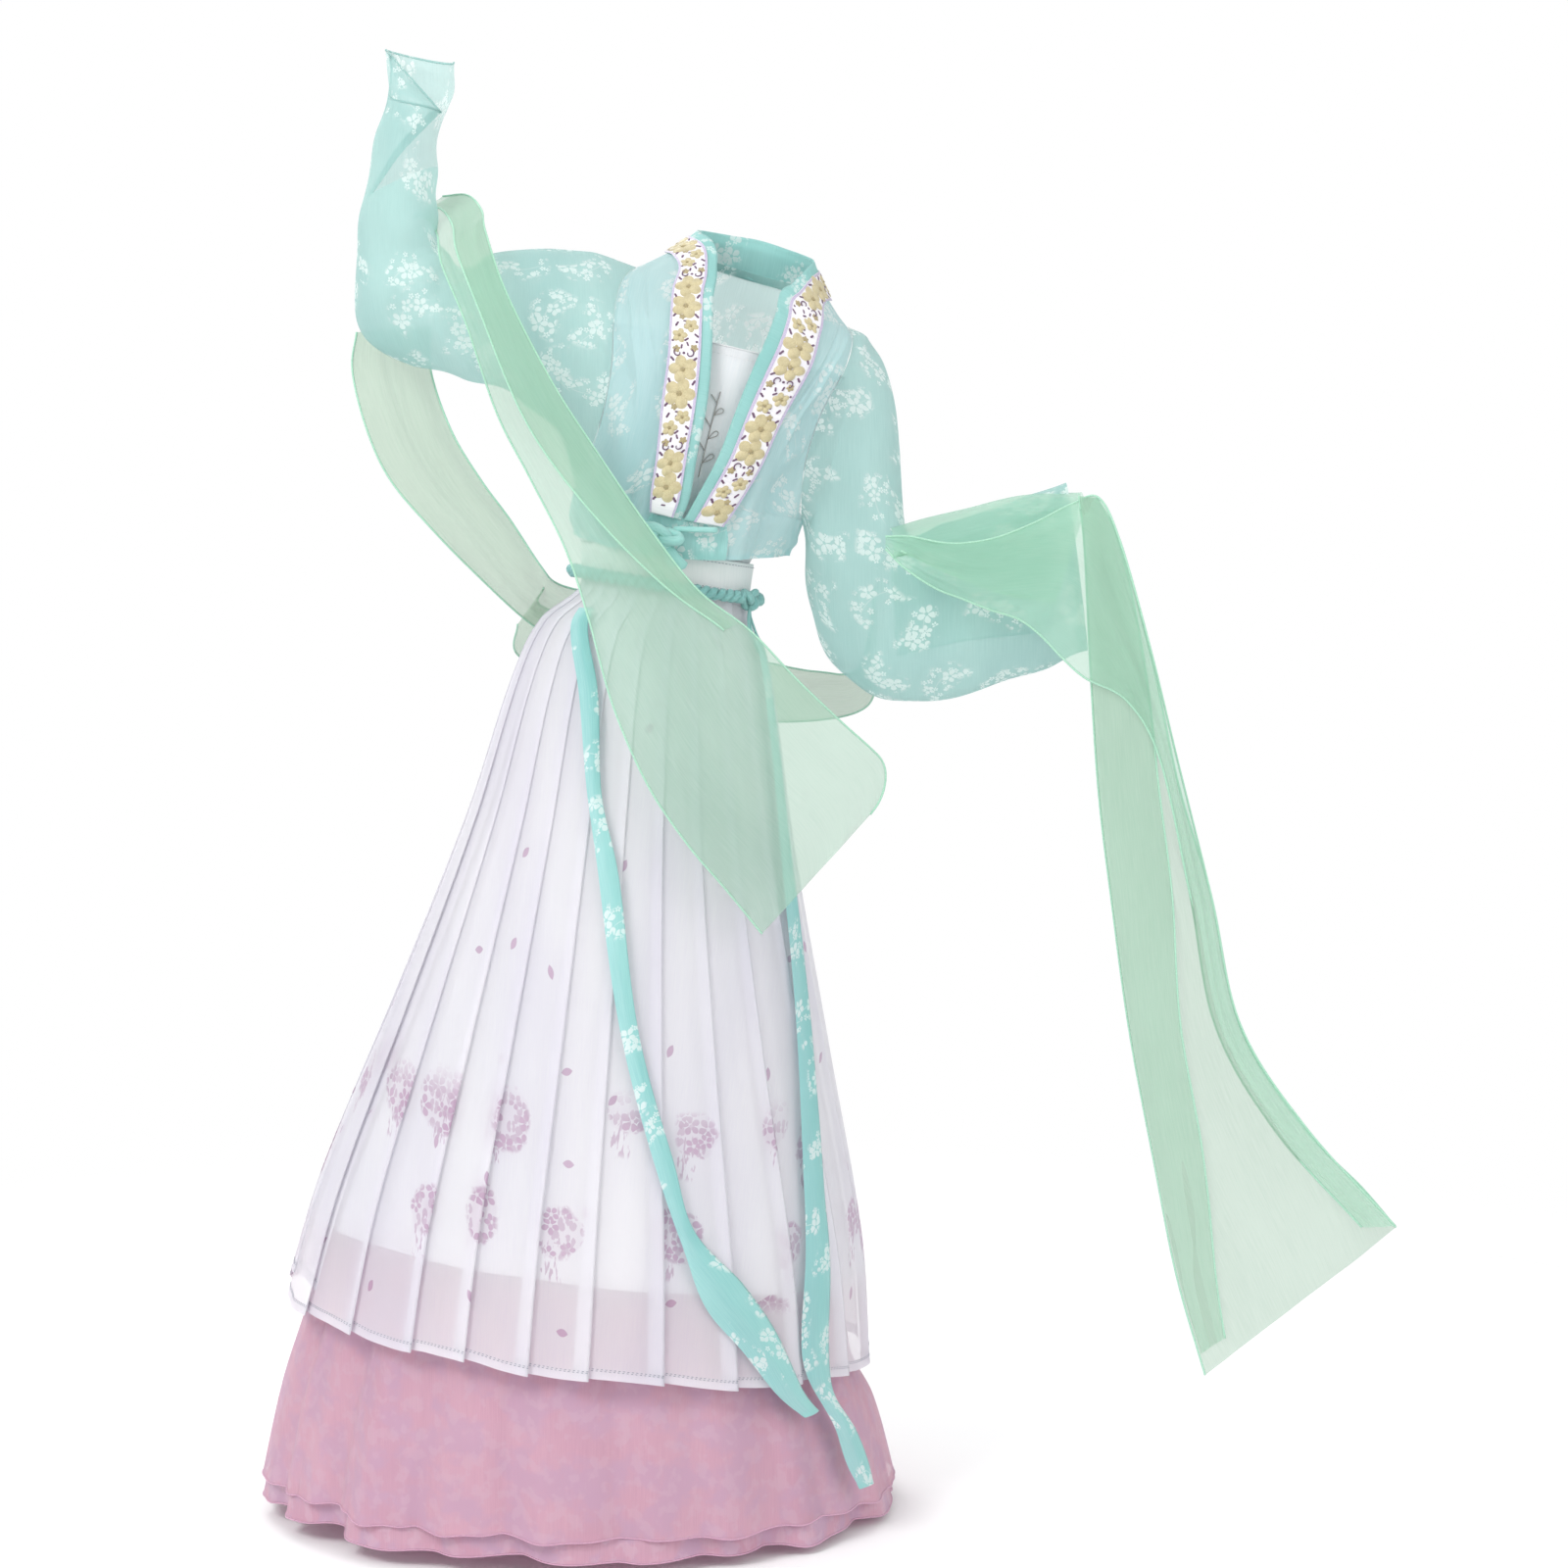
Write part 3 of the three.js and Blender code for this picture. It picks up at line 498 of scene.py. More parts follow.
@dataclass(frozen=True)
class Cloth:
    """A cloth's finish.

    Attributes:
        name: the material's name.
        colour: its main colour.
        deep: the colour of its soft variation.
        cover: how much it hides of what lies behind, 1 for an opaque cloth.
        glow: how much of its light passes through from behind.
        roughness: of its threads.
        sheen: strength of the soft light along its edges.
        shape: what is woven into or printed on it.
        mark: the colour of that pattern.
        weave: width of its threads, in metres.
        relief: height of its weave, in metres.
    """

    name: str
    colour: tuple[float, float, float, float]
    deep: tuple[float, float, float, float]
    cover: float = 1.0
    glow: float = 0.25
    roughness: float = 0.6
    sheen: float = 0.3
    shape: Print = Print.PLAIN
    mark: tuple[float, float, float, float] = (1.0, 1.0, 1.0, 1.0)
    weave: float = 0.0007
    relief: float = 0.00012

    def sprays(self, graph: Graph, place) -> bpy.types.NodeSocket:
        """White five-petalled blossoms strung in curved sprays, with dots between them."""
        _, _, chance, x, y = graph.cells(place, 0.070, 0.55)
        turn = graph.math("MULTIPLY", chance[0], 6.283)
        cos, sin = graph.math("COSINE", turn), graph.math("SINE", turn)
        along = graph.math("ADD", graph.math("MULTIPLY", x, cos), graph.math("MULTIPLY", y, sin))
        off = graph.math("SUBTRACT", graph.math("MULTIPLY", y, cos),
                         graph.math("MULTIPLY", x, sin))
        bend = graph.math("MULTIPLY", graph.math("MULTIPLY", along, along), 14.0)
        off = graph.math("ABSOLUTE", graph.math("SUBTRACT", off, bend))
        near = graph.math("MULTIPLY", graph.step(off, 0.017, 0.012),
                          graph.step(graph.math("ABSOLUTE", along), 0.033, 0.027))
        wide = graph.math("MULTIPLY", graph.step(off, 0.021, 0.014),
                          graph.step(graph.math("ABSOLUTE", along), 0.034, 0.026))
        large = graph.math("MULTIPLY", graph.petals(place, 0.0195, 0.0100, 0.85, 0.6), near)
        small = graph.math("MULTIPLY", graph.petals(
            graph.stretched(place, 1, 1, 0.31), 0.0095, 0.0038, 0.6, 1.0), wide)
        stem = graph.math("MULTIPLY", graph.step(off, 0.0009, 0.0003),
                          graph.step(graph.math("ABSOLUTE", along), 0.026, 0.020))
        return graph.math("MAXIMUM", graph.math("MAXIMUM", large, small),
                          graph.math("MULTIPLY", stem, 0.55))

    def bouquets(self, graph: Graph, place):
        """Round bouquets of mauve blossoms over fine leaves in a band above the hem, and single
        petals that fall down the whole cloth.

        Returns:
            The share of each point that is printed, and the print's colour.
        """
        _, v, _ = graph.split(place)
        band = graph.math("MULTIPLY", graph.step(v, 0.070, 0.095), graph.step(v, 0.300, 0.250))
        reach, angle, chance, x, y = graph.cells(place, 0.105, 0.62)
        wobble = graph.math("MULTIPLY", graph.noise(place, 60.0), 0.016)
        size = graph.math("ADD", graph.math("MULTIPLY", chance[2], 0.016), 0.022)
        round_off = graph.step(graph.math("SUBTRACT", graph.math("ADD", reach, wobble), size),
                               0.010, 0.004)
        chosen = graph.math("MULTIPLY", graph.math("GREATER_THAN", chance[1], 0.42), band)
        flowers = graph.petals(place, 0.0200, 0.0115, 0.92, 0.6)
        leaves = graph.petals(graph.stretched(place, 1.0, 0.6, 0.23), 0.011, 0.007, 0.65, 1.0, 2)
        bloom = graph.math("MULTIPLY", graph.math("MAXIMUM", flowers, graph.math(
            "MULTIPLY", leaves, 0.7)), graph.math("MULTIPLY", round_off, chosen))
        wash = graph.math("MULTIPLY", graph.math("MULTIPLY", round_off, chosen), 0.16)
        stem = graph.math("MULTIPLY", graph.math("MULTIPLY", graph.step(graph.math(
            "ABSOLUTE", graph.math("ADD", x, wobble)), 0.0103, 0.0085), graph.step(
                y, -0.052, -0.044)), graph.math("MULTIPLY", graph.step(y, 0.0, -0.006), chosen))
        twig = graph.step(graph.noise(graph.stretched(place, 260.0, 60.0), 1.0, 2.0), 0.52, 0.60)
        stem = graph.math("MULTIPLY", graph.math("MULTIPLY", stem, twig), 0.8)
        fall, lean, odds, px, py = graph.cells(graph.stretched(place, 1.0, 0.8, 0.11), 0.095, 1.0)
        drop = graph.step(graph.math("MULTIPLY", fall, graph.math("ADD", 1.0, graph.math(
            "MULTIPLY", graph.math("ABSOLUTE", graph.math("SINE", graph.math("ADD", lean,
                graph.math("MULTIPLY", odds[0], 3.14)))), 0.9))), 0.0068, 0.0052)
        drop = graph.math("MULTIPLY", drop, graph.math("GREATER_THAN", odds[1], 0.52))
        printed = graph.math("MAXIMUM", graph.math("MAXIMUM", graph.math(
            "MAXIMUM", bloom, stem), wash), drop, clamp=True)
        tone = graph.mixed(graph.noise(place, 45.0, 3.0), self.mark, linear(196, 158, 190))
        return printed, tone

    def build(self) -> bpy.types.Material:
        """Makes the material: threads, soft colour changes, its pattern and its sheerness."""
        graph = Graph(self.name)
        place = graph.node("UVMap", uv_map="cloth").outputs[0]
        slub = graph.noise(graph.stretched(place, 900.0, 28.0), 1.0, 2.0)
        wide = graph.noise(graph.stretched(place, 9.0, 3.0), 1.0, 2.0)
        tone = graph.math("ADD", graph.math("MULTIPLY", slub, 0.35),
                          graph.math("MULTIPLY", wide, 0.65))
        colour = graph.mixed(graph.step(tone, 0.36, 0.64), self.colour, self.deep)
        cover: bpy.types.NodeSocket | float = graph.math(
            "ADD", graph.math("MULTIPLY", slub, 0.12 * (1 - self.cover)), self.cover * 0.97,
            clamp=True)
        if self.shape is Print.BLOSSOM:
            marks = self.sprays(graph, place)
            colour = graph.mixed(graph.math("MULTIPLY", marks, 0.82), colour, self.mark)
            cover = graph.math("MAXIMUM", cover, graph.math("MULTIPLY", marks, 0.90))
        elif self.shape is Print.BORDER:
            marks, ink = self.bouquets(graph, place)
            colour = graph.mixed(graph.math("MULTIPLY", marks, 0.85), colour, ink)
            cover = graph.math("MAXIMUM", cover, graph.math("MULTIPLY", marks, 0.8))
        elif self.shape is Print.CLOUDS:
            cloud = graph.step(graph.noise(place, 26.0, 4.0), 0.42, 0.60)
            petal = graph.step(graph.noise(graph.stretched(place, 1, 1, 0.4), 62.0, 3.0),
                               0.50, 0.60)
            colour = graph.mixed(graph.math("MULTIPLY", cloud, 0.75), colour, self.mark)
            colour = graph.mixed(graph.math("MULTIPLY", petal, 0.35), colour,
                                 linear(236, 208, 222))
        u, v, _ = graph.split(place)
        threads = [graph.math("SINE", graph.math("MULTIPLY", part, 2 * math.pi / self.weave))
                   for part in (u, v)]
        if self.shape is Print.TWIST:
            slant = graph.math("ADD", graph.math("MULTIPLY", u, 320.0),
                               graph.math("MULTIPLY", v, 520.0))
            threads = [graph.math("MULTIPLY", graph.math("SINE", slant), 3.0), threads[0]]
        height = graph.math("ADD", graph.math("ADD", *threads), graph.math(
            "MULTIPLY", graph.noise(graph.stretched(place, 260.0, 90.0), 1.0, 3.0), 3.0))
        bump = graph.node("Bump", {"Height": height, "Strength": 0.5,
                                   "Distance": self.relief}).outputs[0]
        face = graph.node("BsdfPrincipled", {
            "Base Color": colour, "Roughness": self.roughness, "Specular IOR Level": 0.22,
            "Sheen Weight": self.sheen, "Sheen Roughness": 0.45, "Normal": bump})
        through = graph.node("BsdfTranslucent", {"Color": colour, "Normal": bump})
        shader = graph.node("MixShader", {0: self.glow, 1: face.outputs[0],
                                          2: through.outputs[0]}).outputs[0]
        if self.cover < 1:
            clear = graph.node("BsdfTransparent")
            shader = graph.node("MixShader", {0: cover, 1: clear.outputs[0], 2: shader}
                                ).outputs[0]
        graph.node("OutputMaterial", {0: shader})
        return graph.material


@dataclass(frozen=True)
class Thread:
    """Satin embroidery thread: fine bright lines that run along each stitch."""

    name: str
    colour: tuple[float, float, float, float]
    deep: tuple[float, float, float, float]
    shine: float = 0.35

    def build(self) -> bpy.types.Material:
        """Makes the material."""
        graph = Graph(self.name)
        place = graph.node("UVMap", uv_map="cloth").outputs[0]
        u, v, _ = graph.split(place)
        lines = graph.math("SINE", graph.math("MULTIPLY", graph.math("ADD", u, v), 9000.0))
        tone = graph.noise(place, 700.0, 2.0)
        colour = graph.mixed(graph.step(tone, 0.35, 0.65), self.colour, self.deep)
        bump = graph.node("Bump", {"Height": lines, "Strength": 0.6, "Distance": 0.0001})
        face = graph.node("BsdfPrincipled", {
            "Base Color": colour, "Roughness": 1 - self.shine - 0.2, "Sheen Weight": 0.2,
            "Specular IOR Level": 0.5, "Normal": bump.outputs[0]})
        graph.node("OutputMaterial", {0: face.outputs[0]})
        return graph.material


# ---------------------------------------------------------------- the robe's own tables

BODICE = Rings((
    (-8, 12, 0, 112, 86, -5), (18, 14, 0, 112, 88, -6), (45, 20, -2, 118, 96, -8),
    (100, 34, -4, 128, 104, -10), (160, 50, -4, 138, 106, -12), (215, 64, 0, 142, 98, -14),
    (255, 74, 6, 128, 82, -15), (280, 81, 12, 99, 71, -16), (300, 87, 16, 78, 62, -16),
    (318, 91, 18, 65, 56, -15), (336, 95, 20, 56, 52, -14)))
SKIRT = Rings((
    (-830, -102, -8, 312, 260, -7), (-700, -87, -6, 288, 234, -7), (-500, -63, -4, 230, 192, -8),
    (-300, -42, -2, 174, 150, -8), (-150, -27, 0, 140, 120, -9), (-90, -18, 0, 120, 100, -9),
    (-56, -7, 0, 92, 77, -9), (-36, -4, 0, 88, 73, -9)))
UNDERSKIRT = Rings((
    (-1010, -98, -8, 352, 296, -1), (-900, -98, -8, 324, 272, -3), (-830, -98, -8, 296, 244, -6),
    (-700, -87, -6, 271, 218, -7), (-500, -63, -4, 214, 176, -8), (-300, -42, -2, 158, 134, -8),
    (-150, -27, 0, 124, 104, -9), (-90, -18, 0, 104, 84, -9), (-56, -7, 0, 78, 62, -9),
    (-36, -4, 0, 74, 58, -9)))
OVER_SKIRTS = Rings((
    (-1010, -98, -8, 358, 302, -1), (-900, -98, -8, 332, 280, -3), *SKIRT.rows))
COLLAR_EDGES: Table = (
    (0, -0.8, 32, -17, 36), (1, 1, 56, -18, 54), (2, -0.5, 101, -18.7, 92),
    (3, -1.8, 150, -21, 146), (4, -5.5, 206, -23, 200), (5, -11, 254, -29, 246),
    (6, -19, 286, -39, 276), (7, -37, 313, -58, 289), (8, -68, 322, -84, 292),
    (9, -110, 328, -118, 293), (10, -150, 333, -152, 293), (11, -182, 336, -182, 293),
    (12, -216, 333, -212, 293), (13, -254, 328, -246, 293), (14, -288, 321, -278, 292),
    (15, -308, 311, -298, 287), (16, -327, 294, -310, 273), (17, -339, 276, -319, 250),
    (18, -346, 216, -323, 212), (19, -349, 158, -328, 154), (20, -351, 100, -330, 98),
    (21, -356, 55, -335, 52), (22, -359.2, 32, -338.5, 30))
LEFT_SLEEVE: Table = (
    (1, 212, 0, 226, 147, 0, 6, 56, 44), (2, 233, 0, 190, 150, 0, -60, 54, 38),
    (3, 246, -10, 110, 174, -10, -118, 50, 32), (4, 253, -22, 20, 212, -20, -150, 48, 30),
    (5, 293, -42, 30, 268, -40, -160, 42, 26), (6, 339, -62, 43, 329, -60, -146, 38, 22),
    (7, 379, -78, 58, 390, -75, -125, 34, 18), (8, 416, -92, 71, 440, -90, -104, 30, 14))
RIGHT_SLEEVE: Table = (
    (1, -84, -6, 317, -124, -5, 132, 52, 44), (2, -136, -16, 320, -170, -15, 168, 50, 40),
    (3, -184, -28, 312, -220, -28, 184, 48, 38), (4, -214, -36, 296, -272, -38, 194, 46, 36),
    (5, -236, -42, 318, -316, -45, 220, 44, 34), (6, -241, -46, 346, -328, -46, 268, 42, 32),
    (7, -241, -50, 372, -325, -48, 322, 40, 30), (8, -240, -54, 400, -318, -50, 366, 38, 28),
    (9, -238, -58, 430, -306, -56, 420, 36, 26), (10, -228, -61, 462, -294, -60, 460, 34, 24),
    (11, -219, -64, 490, -285, -63, 500, 32, 22), (12, -222, -66, 506, -290, -65, 520, 30, 20))


@dataclass(frozen=True)
class Role:
    """What a piece stands for: its material slot, which is not used, and the CAD nodes it replaces."""

    slot: str
    nodes: tuple[str, ...] = ()


def placed(thing: bpy.types.Object, material: bpy.types.Material, role: Role
           ) -> bpy.types.Object:
    """Dresses a piece, lets it ride on the robe, hides the CAD parts it replaces and logs its face
    count.
    """
    thing.data.materials.append(material)
    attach(thing, BODY)
    if role.nodes:
        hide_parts(*role.nodes)
    LOG.info("%s: %d faces", thing.name, len(thing.data.polygons))
    return thing


class Wardrobe:
    """The robe's materials, each made once."""

    def __init__(self) -> None:
        """Builds every finish."""
        white = linear(255, 255, 255)
        cloths = (
            Cloth("jacket chiffon", linear(192, 228, 224), linear(174, 214, 211), 0.72, 0.4,
                  shape=Print.BLOSSOM, mark=linear(244, 252, 250)),
            Cloth("bodice chiffon", linear(216, 244, 245), linear(198, 234, 236), 0.84, 0.5,
                  shape=Print.BLOSSOM, mark=linear(248, 254, 253)),
            Cloth("jacket chiffon edge", linear(184, 233, 229), linear(166, 221, 217), 0.93, 0.3,
                  shape=Print.BLOSSOM, mark=linear(240, 252, 250)),
            Cloth("ribbon chiffon", linear(176, 230, 226), linear(158, 218, 216), 0.93, 0.25,
                  shape=Print.BLOSSOM, mark=linear(240, 252, 250)),
            Cloth("collar satin", linear(250, 249, 250), linear(238, 236, 242), 1.0, 0.05, 0.45,
                  weave=0.0009),
            Cloth("camisole satin", linear(253, 254, 255), linear(244, 247, 250), 1.0, 0.3, 0.4,
                  weave=0.0006),
            Cloth("skirt chiffon", linear(251, 250, 254), linear(243, 241, 249), 0.74, 0.35,
                  shape=Print.BORDER, mark=linear(206, 172, 200)),
            Cloth("waistband cloth", linear(250, 250, 250), linear(238, 240, 241), 1.0, 0.1),
            Cloth("skirt lining", linear(252, 252, 252), linear(240, 242, 244), 1.0, 0.15),
            Cloth("underskirt chiffon", linear(236, 194, 210), linear(226, 182, 202), 0.86, 0.35,
                  shape=Print.CLOUDS, mark=linear(222, 188, 212)),
            Cloth("underskirt lining", linear(232, 188, 206), linear(220, 172, 194), 0.96, 0.3,
                  shape=Print.CLOUDS, mark=linear(214, 182, 208)),
            Cloth("scarf chiffon", linear(188, 224, 202), linear(172, 212, 188), 0.60, 0.4,
                  0.5, 0.5, weave=0.0006),
            # A darker, greyer copy of the scarf cloth: painted shade for the lower left tail.
            Cloth("scarf chiffon painted shade low", linear(178, 206, 186), linear(162, 194, 172), 0.60, 0.35,
                  0.5, 0.5, weave=0.0006),
            # A lighter copy of the scarf cloth: painted light on the swag and the stretch over the left
            # arm.
            Cloth("scarf chiffon painted light", linear(192, 234, 212), linear(178, 224, 200), 0.58, 0.45,
                  0.5, 0.5, weave=0.0006),
            # A darker copy of the scarf cloth: painted shade on the stretches behind the body.
            Cloth("scarf chiffon painted shade behind", linear(176, 204, 180), linear(160, 192, 166), 0.68, 0.4,
                  0.5, 0.4, weave=0.0006),
            Cloth("belt cord", linear(158, 212, 208), linear(130, 190, 188), 1.0, 0.1, 0.5,
                  shape=Print.TWIST, relief=0.0004),
            Cloth("tie cloth", linear(180, 234, 228), linear(158, 220, 214), 1.0, 0.15, 0.5,
                  shape=Print.TWIST, relief=0.0003),
            Cloth("hem thread white", white, linear(214, 220, 224), 1.0, 0.1),
        )
        threads = (
            Thread("gold thread", linear(212, 201, 162), linear(196, 182, 140)),
            Thread("gold thread dark", linear(186, 172, 132), linear(160, 144, 104)),
            Thread("purple thread", linear(112, 78, 108), linear(92, 60, 92)),
            Thread("lilac thread", linear(206, 196, 220), linear(188, 178, 206)),
            Thread("stone thread", linear(176, 170, 166), linear(150, 146, 142)),
            Thread("stitch thread", linear(158, 162, 176), linear(138, 142, 158), 0.2),
            Thread("mint edge thread", linear(182, 226, 202), linear(160, 212, 186), 0.2),
            Thread("aqua edge thread", linear(176, 226, 220), linear(150, 208, 204), 0.2),
            Thread("rose edge thread", linear(214, 168, 190), linear(196, 150, 178), 0.2),
        )
        self.made = {finish.name: finish.build() for finish in (*cloths, *threads)}

    def __getitem__(self, name: str) -> bpy.types.Material:
        """Returns a material by name."""
        return self.made[name]


# ---------------------------------------------------------------- collar

@dataclass
class Collar:
    """The crossed collar: a chiffon band, and an embroidered ribbon sewn on its outer part."""

    wardrobe: Wardrobe
    edging: float = 0.24
    crown: float = 0.0016
    ribbon_lift: float = 0.0026
    repeat: float = 0.098

    def surface(self, section: Array, across: Array, lift: Array | float = 0.0) -> Array:
        """Points of the collar: between its outer (0) and inner (1) edge, laid on the bodice."""
        section, across = np.broadcast_arrays(section, across)
        inner_angle, inner_rise, outer_angle, outer_rise = np.moveaxis(
            read(COLLAR_EDGES, section), -1, 0)
        return BODICE.at(mix(outer_rise, inner_rise, across), mix(outer_angle, inner_angle, across),
                         np.asarray(lift) * 1000 + 0.6)

    def band(self) -> bpy.types.Object:
        """The chiffon band, gently crowned and faintly rippled, given a wall of cloth."""
        section = np.linspace(22, 0, 340)[None, :]
        across = np.linspace(0, 1, 15)[:, None]
        lift = self.crown * np.sin(np.pi * across) ** 0.5 + 0 * section
        lift = lift + 0.0004 * folds(section / 22, across, 30, 3)
        thing = mesh_of("Collar band", [patch(self.surface(section, across, lift))])
        thickened(thing, 1.1 * MM)
        return placed(thing, self.wardrobe["jacket chiffon edge"],
                      Role("jacket_cloth", ("collar_band",)))

    def ribbon_grid(self, section: Array, share: Array, extra: Array | float = 0.0) -> Array:
        """Points of the ribbon: share runs from the collar's outer edge to the edging."""
        crown = 0.0006 * np.sin(np.pi * np.clip(share, 0, 1)) ** 0.4
        return self.surface(section, share * (1 - self.edging), self.ribbon_lift + crown + extra)

    def ribbon(self) -> bpy.types.Object:
        """The white ribbon."""
        section = np.linspace(22, 0, 340)[None, :]
        share = np.linspace(0.0, 1.0, 13)[:, None]
        thing = mesh_of("Collar ribbon", [patch(self.ribbon_grid(section, share))])
        thickened(thing, 0.8 * MM)
        return placed(thing, self.wardrobe["collar satin"],
                      Role("collar_ribbon", ("collar_trim",)))

    def ribbon_edges(self) -> bpy.types.Object:
        """Lilac selvedges: a narrow raised band along each edge of the ribbon."""
        section = np.linspace(22, 0, 340)[None, :]
        bands = [patch(self.ribbon_grid(section, np.linspace(low, low + 0.075, 4)[:, None], 0.0007))
                 for low in (0.0, 0.925)]
        return placed(mesh_of("Collar ribbon edges", bands), self.wardrobe["lilac thread"],
                      Role("collar_ribbon"))

    def lengths(self) -> tuple[Array, Array, Array]:
        """Length along the ribbon's middle at each of many sections, and its width there."""
        section = np.linspace(0, 22, 600)
        middle = self.ribbon_grid(section, np.full(600, 0.5))
        length = np.concatenate([[0], np.cumsum(np.linalg.norm(np.diff(middle, axis=0), axis=-1))])
        width = np.linalg.norm(self.ribbon_grid(section, np.ones(600))
                               - self.ribbon_grid(section, np.zeros(600)), axis=-1)
        return section, length, width

    def motifs(self, name: str, finish: str, centres: Array, size: Array, turn: Array,
               lobes: int, depth: float, squash: float, height: float,
               shape: Callable[[Array], Array] | None = None) -> bpy.types.Object:
        """Embroidered shapes of one kind, each a low dome on the ribbon.

        A shape's reach is its size times (1 - depth + depth |cos|) of lobes times half the
        angle; it is squashed across and turned, then laid on the ribbon by length and width.

        Args:
            name: the piece's name.
            finish: its thread.
            centres: length along the ribbon and share across it, for each motif.
            size: half length of each, in metres.
            turn: how far each is turned, in radians.
            lobes: petals round it.
            depth: how deep the cuts between them are.
            squash: width over length.
            height: how high its middle stands.
            shape: a function of the angle that replaces the lobed reach.

        Returns:
            The piece.
        """
        spokes, rings = 6 * max(lobes, 3), np.array([0.0, 0.45, 0.8, 1.0])
        angle = 2 * np.pi * np.arange(spokes + 1) / spokes
        reach = shape(angle) if shape else 1 - depth + depth * np.abs(np.cos(lobes * angle / 2))
        du = rings[:, None] * reach * np.cos(angle)
        dv = rings[:, None] * reach * np.sin(angle) * squash
        dome = height * (1 - rings[:, None] ** 2) * np.ones_like(angle)
        notch = 1 - 0.35 * np.abs(np.sin(lobes * angle / 2)) * rings[:, None]
        section_at, length_at, width_at = self.lengths()
        cos, sin = np.cos(turn)[:, None, None], np.sin(turn)[:, None, None]
        u = centres[:, 0, None, None] + size[:, None, None] * (du * cos - dv * sin)
        off = size[:, None, None] * (du * sin + dv * cos)
        width = np.interp(u, length_at, width_at)
        share = centres[:, 1, None, None] + off / width
        section = np.interp(u, length_at, section_at)
        lift = 0.0008 + np.broadcast_to(dome * notch, u.shape)
        lift = np.where(rings[:, None] == 1.0, 0.0002, lift)
        points = self.ribbon_grid(section, share, lift)
        patches = [patch(shape_points) for shape_points in points]
        for item in patches:
            if spokes:
                item.points = item.points[:, ::-1]
            item.uv = item.uv[:, ::-1]
        return placed(mesh_of(name, patches), self.wardrobe[finish], Role("collar_ribbon"))

    def embroidery(self) -> list[bpy.types.Object]:
        """Gold blossoms in pairs, purple leaves round them, curls and rosettes between."""
        _, length_at, _ = self.lengths()
        total = length_at[-1]
        starts = np.arange(0.030, total - 0.010, self.repeat)

        def at(offset: float, share: float) -> Array:
            """Centres of one motif in each repeat."""
            return np.stack([starts + offset, np.full(len(starts), share)], -1)

        def many(items: Sequence[tuple[float, float, float, float]]) -> tuple:
            """Centres, sizes and turns of several motifs in each repeat, kept on the ribbon."""
            centres = np.concatenate([at(u, v) for u, v, _, _ in items])
            size = np.repeat([s for _, _, s, _ in items], len(starts))
            turn = np.repeat([t for _, _, _, t in items], len(starts))
            inside = (centres[:, 0] > 0.008) & (centres[:, 0] < total - 0.008)
            return centres[inside], size[inside], turn[inside]

        blooms = ((0.0, 0.50, 0.0158, 0.3), (0.026, 0.52, 0.0145, 0.9), (0.062, 0.34, 0.0080, 0.2),
                  (0.074, 0.68, 0.0076, 0.6))
        big = many([(u + 0.56 * size * math.cos(way), v + 0.56 * size * math.sin(way) / 0.033,
                     0.50 * size, way)
                    for u, v, size, turn in blooms
                    for way in turn + np.arange(5) * 2 * np.pi / 5])
        hearts = many([(0.0, 0.50, 0.0036, 0.3), (0.025, 0.52, 0.0032, 0.9), (0.062, 0.34, 0.0018, 0.2),
                       (0.073, 0.68, 0.0018, 0.2)])
        leaves = many([(u, v, s, t) for u, v, s, t in (
            (-0.012, 0.16, 0.0036, 0.7), (-0.012, 0.84, 0.0036, -0.7), (0.0125, 0.15, 0.0034, -0.5),
            (0.0125, 0.87, 0.0034, 0.5), (0.036, 0.16, 0.0034, -0.8), (0.037, 0.84, 0.0034, 0.8),
            (0.050, 0.42, 0.0028, 0.1), (0.053, 0.60, 0.0028, -0.4), (0.058, 0.56, 0.0030, 0.9),
            (0.063, 0.86, 0.0032, -0.9), (0.075, 0.24, 0.0034, 0.5), (-0.019, 0.50, 0.0026, 1.57))])
        rosettes = many([(0.047, 0.26, 0.0046, 0.0), (0.049, 0.80, 0.0046, 0.5),
                         (0.084, 0.40, 0.0040, 0.4)])
        dots = many([(0.043, 0.50, 0.0016, 0.0), (0.056, 0.13, 0.0014, 0.0),
                     (0.056, 0.87, 0.0014, 0.0), (0.074, 0.50, 0.0016, 0.0)])
        made = [
            self.motifs("Collar gold blossoms", "gold thread", *big, 0, 0.0, 0.86, 0.0015),
            self.motifs("Collar blossom hearts", "gold thread dark", *hearts, 6, 0.3, 1.0,
                        0.0021),
            self.motifs("Collar purple leaves", "purple thread", *leaves, 2, 0.55, 0.62, 0.0007),
            self.motifs("Collar rosettes", "gold thread dark", *rosettes, 5, 0.35, 1.0, 0.0008),
            self.motifs("Collar dots", "purple thread", *dots, 3, 0.05, 1.0, 0.0006),
        ]
        section_at, _, width_at = self.lengths()
        curls = []
        t = np.linspace(0, 1, 15)
        for start in starts:
            for side in (-1, 1):
                swirl = 0.0046 * (1 - 0.55 * t)
                u = start + 0.043 + swirl * np.cos(4.6 * t + 0.4)
                off = side * (0.0062 + swirl * np.sin(4.6 * t + 0.4))
                share = 0.5 + off / np.interp(u, length_at, width_at)
                if u.min() < 0.006 or u.max() > total - 0.006:
                    continue
                path = self.ribbon_grid(np.interp(u, length_at, section_at), share, 0.0009)
                curls.append(tube(path, 0.0007 * (1.2 - 0.5 * t), 6))
        made.append(placed(mesh_of("Collar curls", curls), self.wardrobe["purple thread"],
                           Role("collar_ribbon")))
        return made

    def build(self) -> None:
        """Makes the band, the ribbon and its embroidery."""
        band = self.band()
        ribbon = self.ribbon()
        extras = [self.ribbon_edges(), *self.embroidery()]


# ---------------------------------------------------------------- jacket

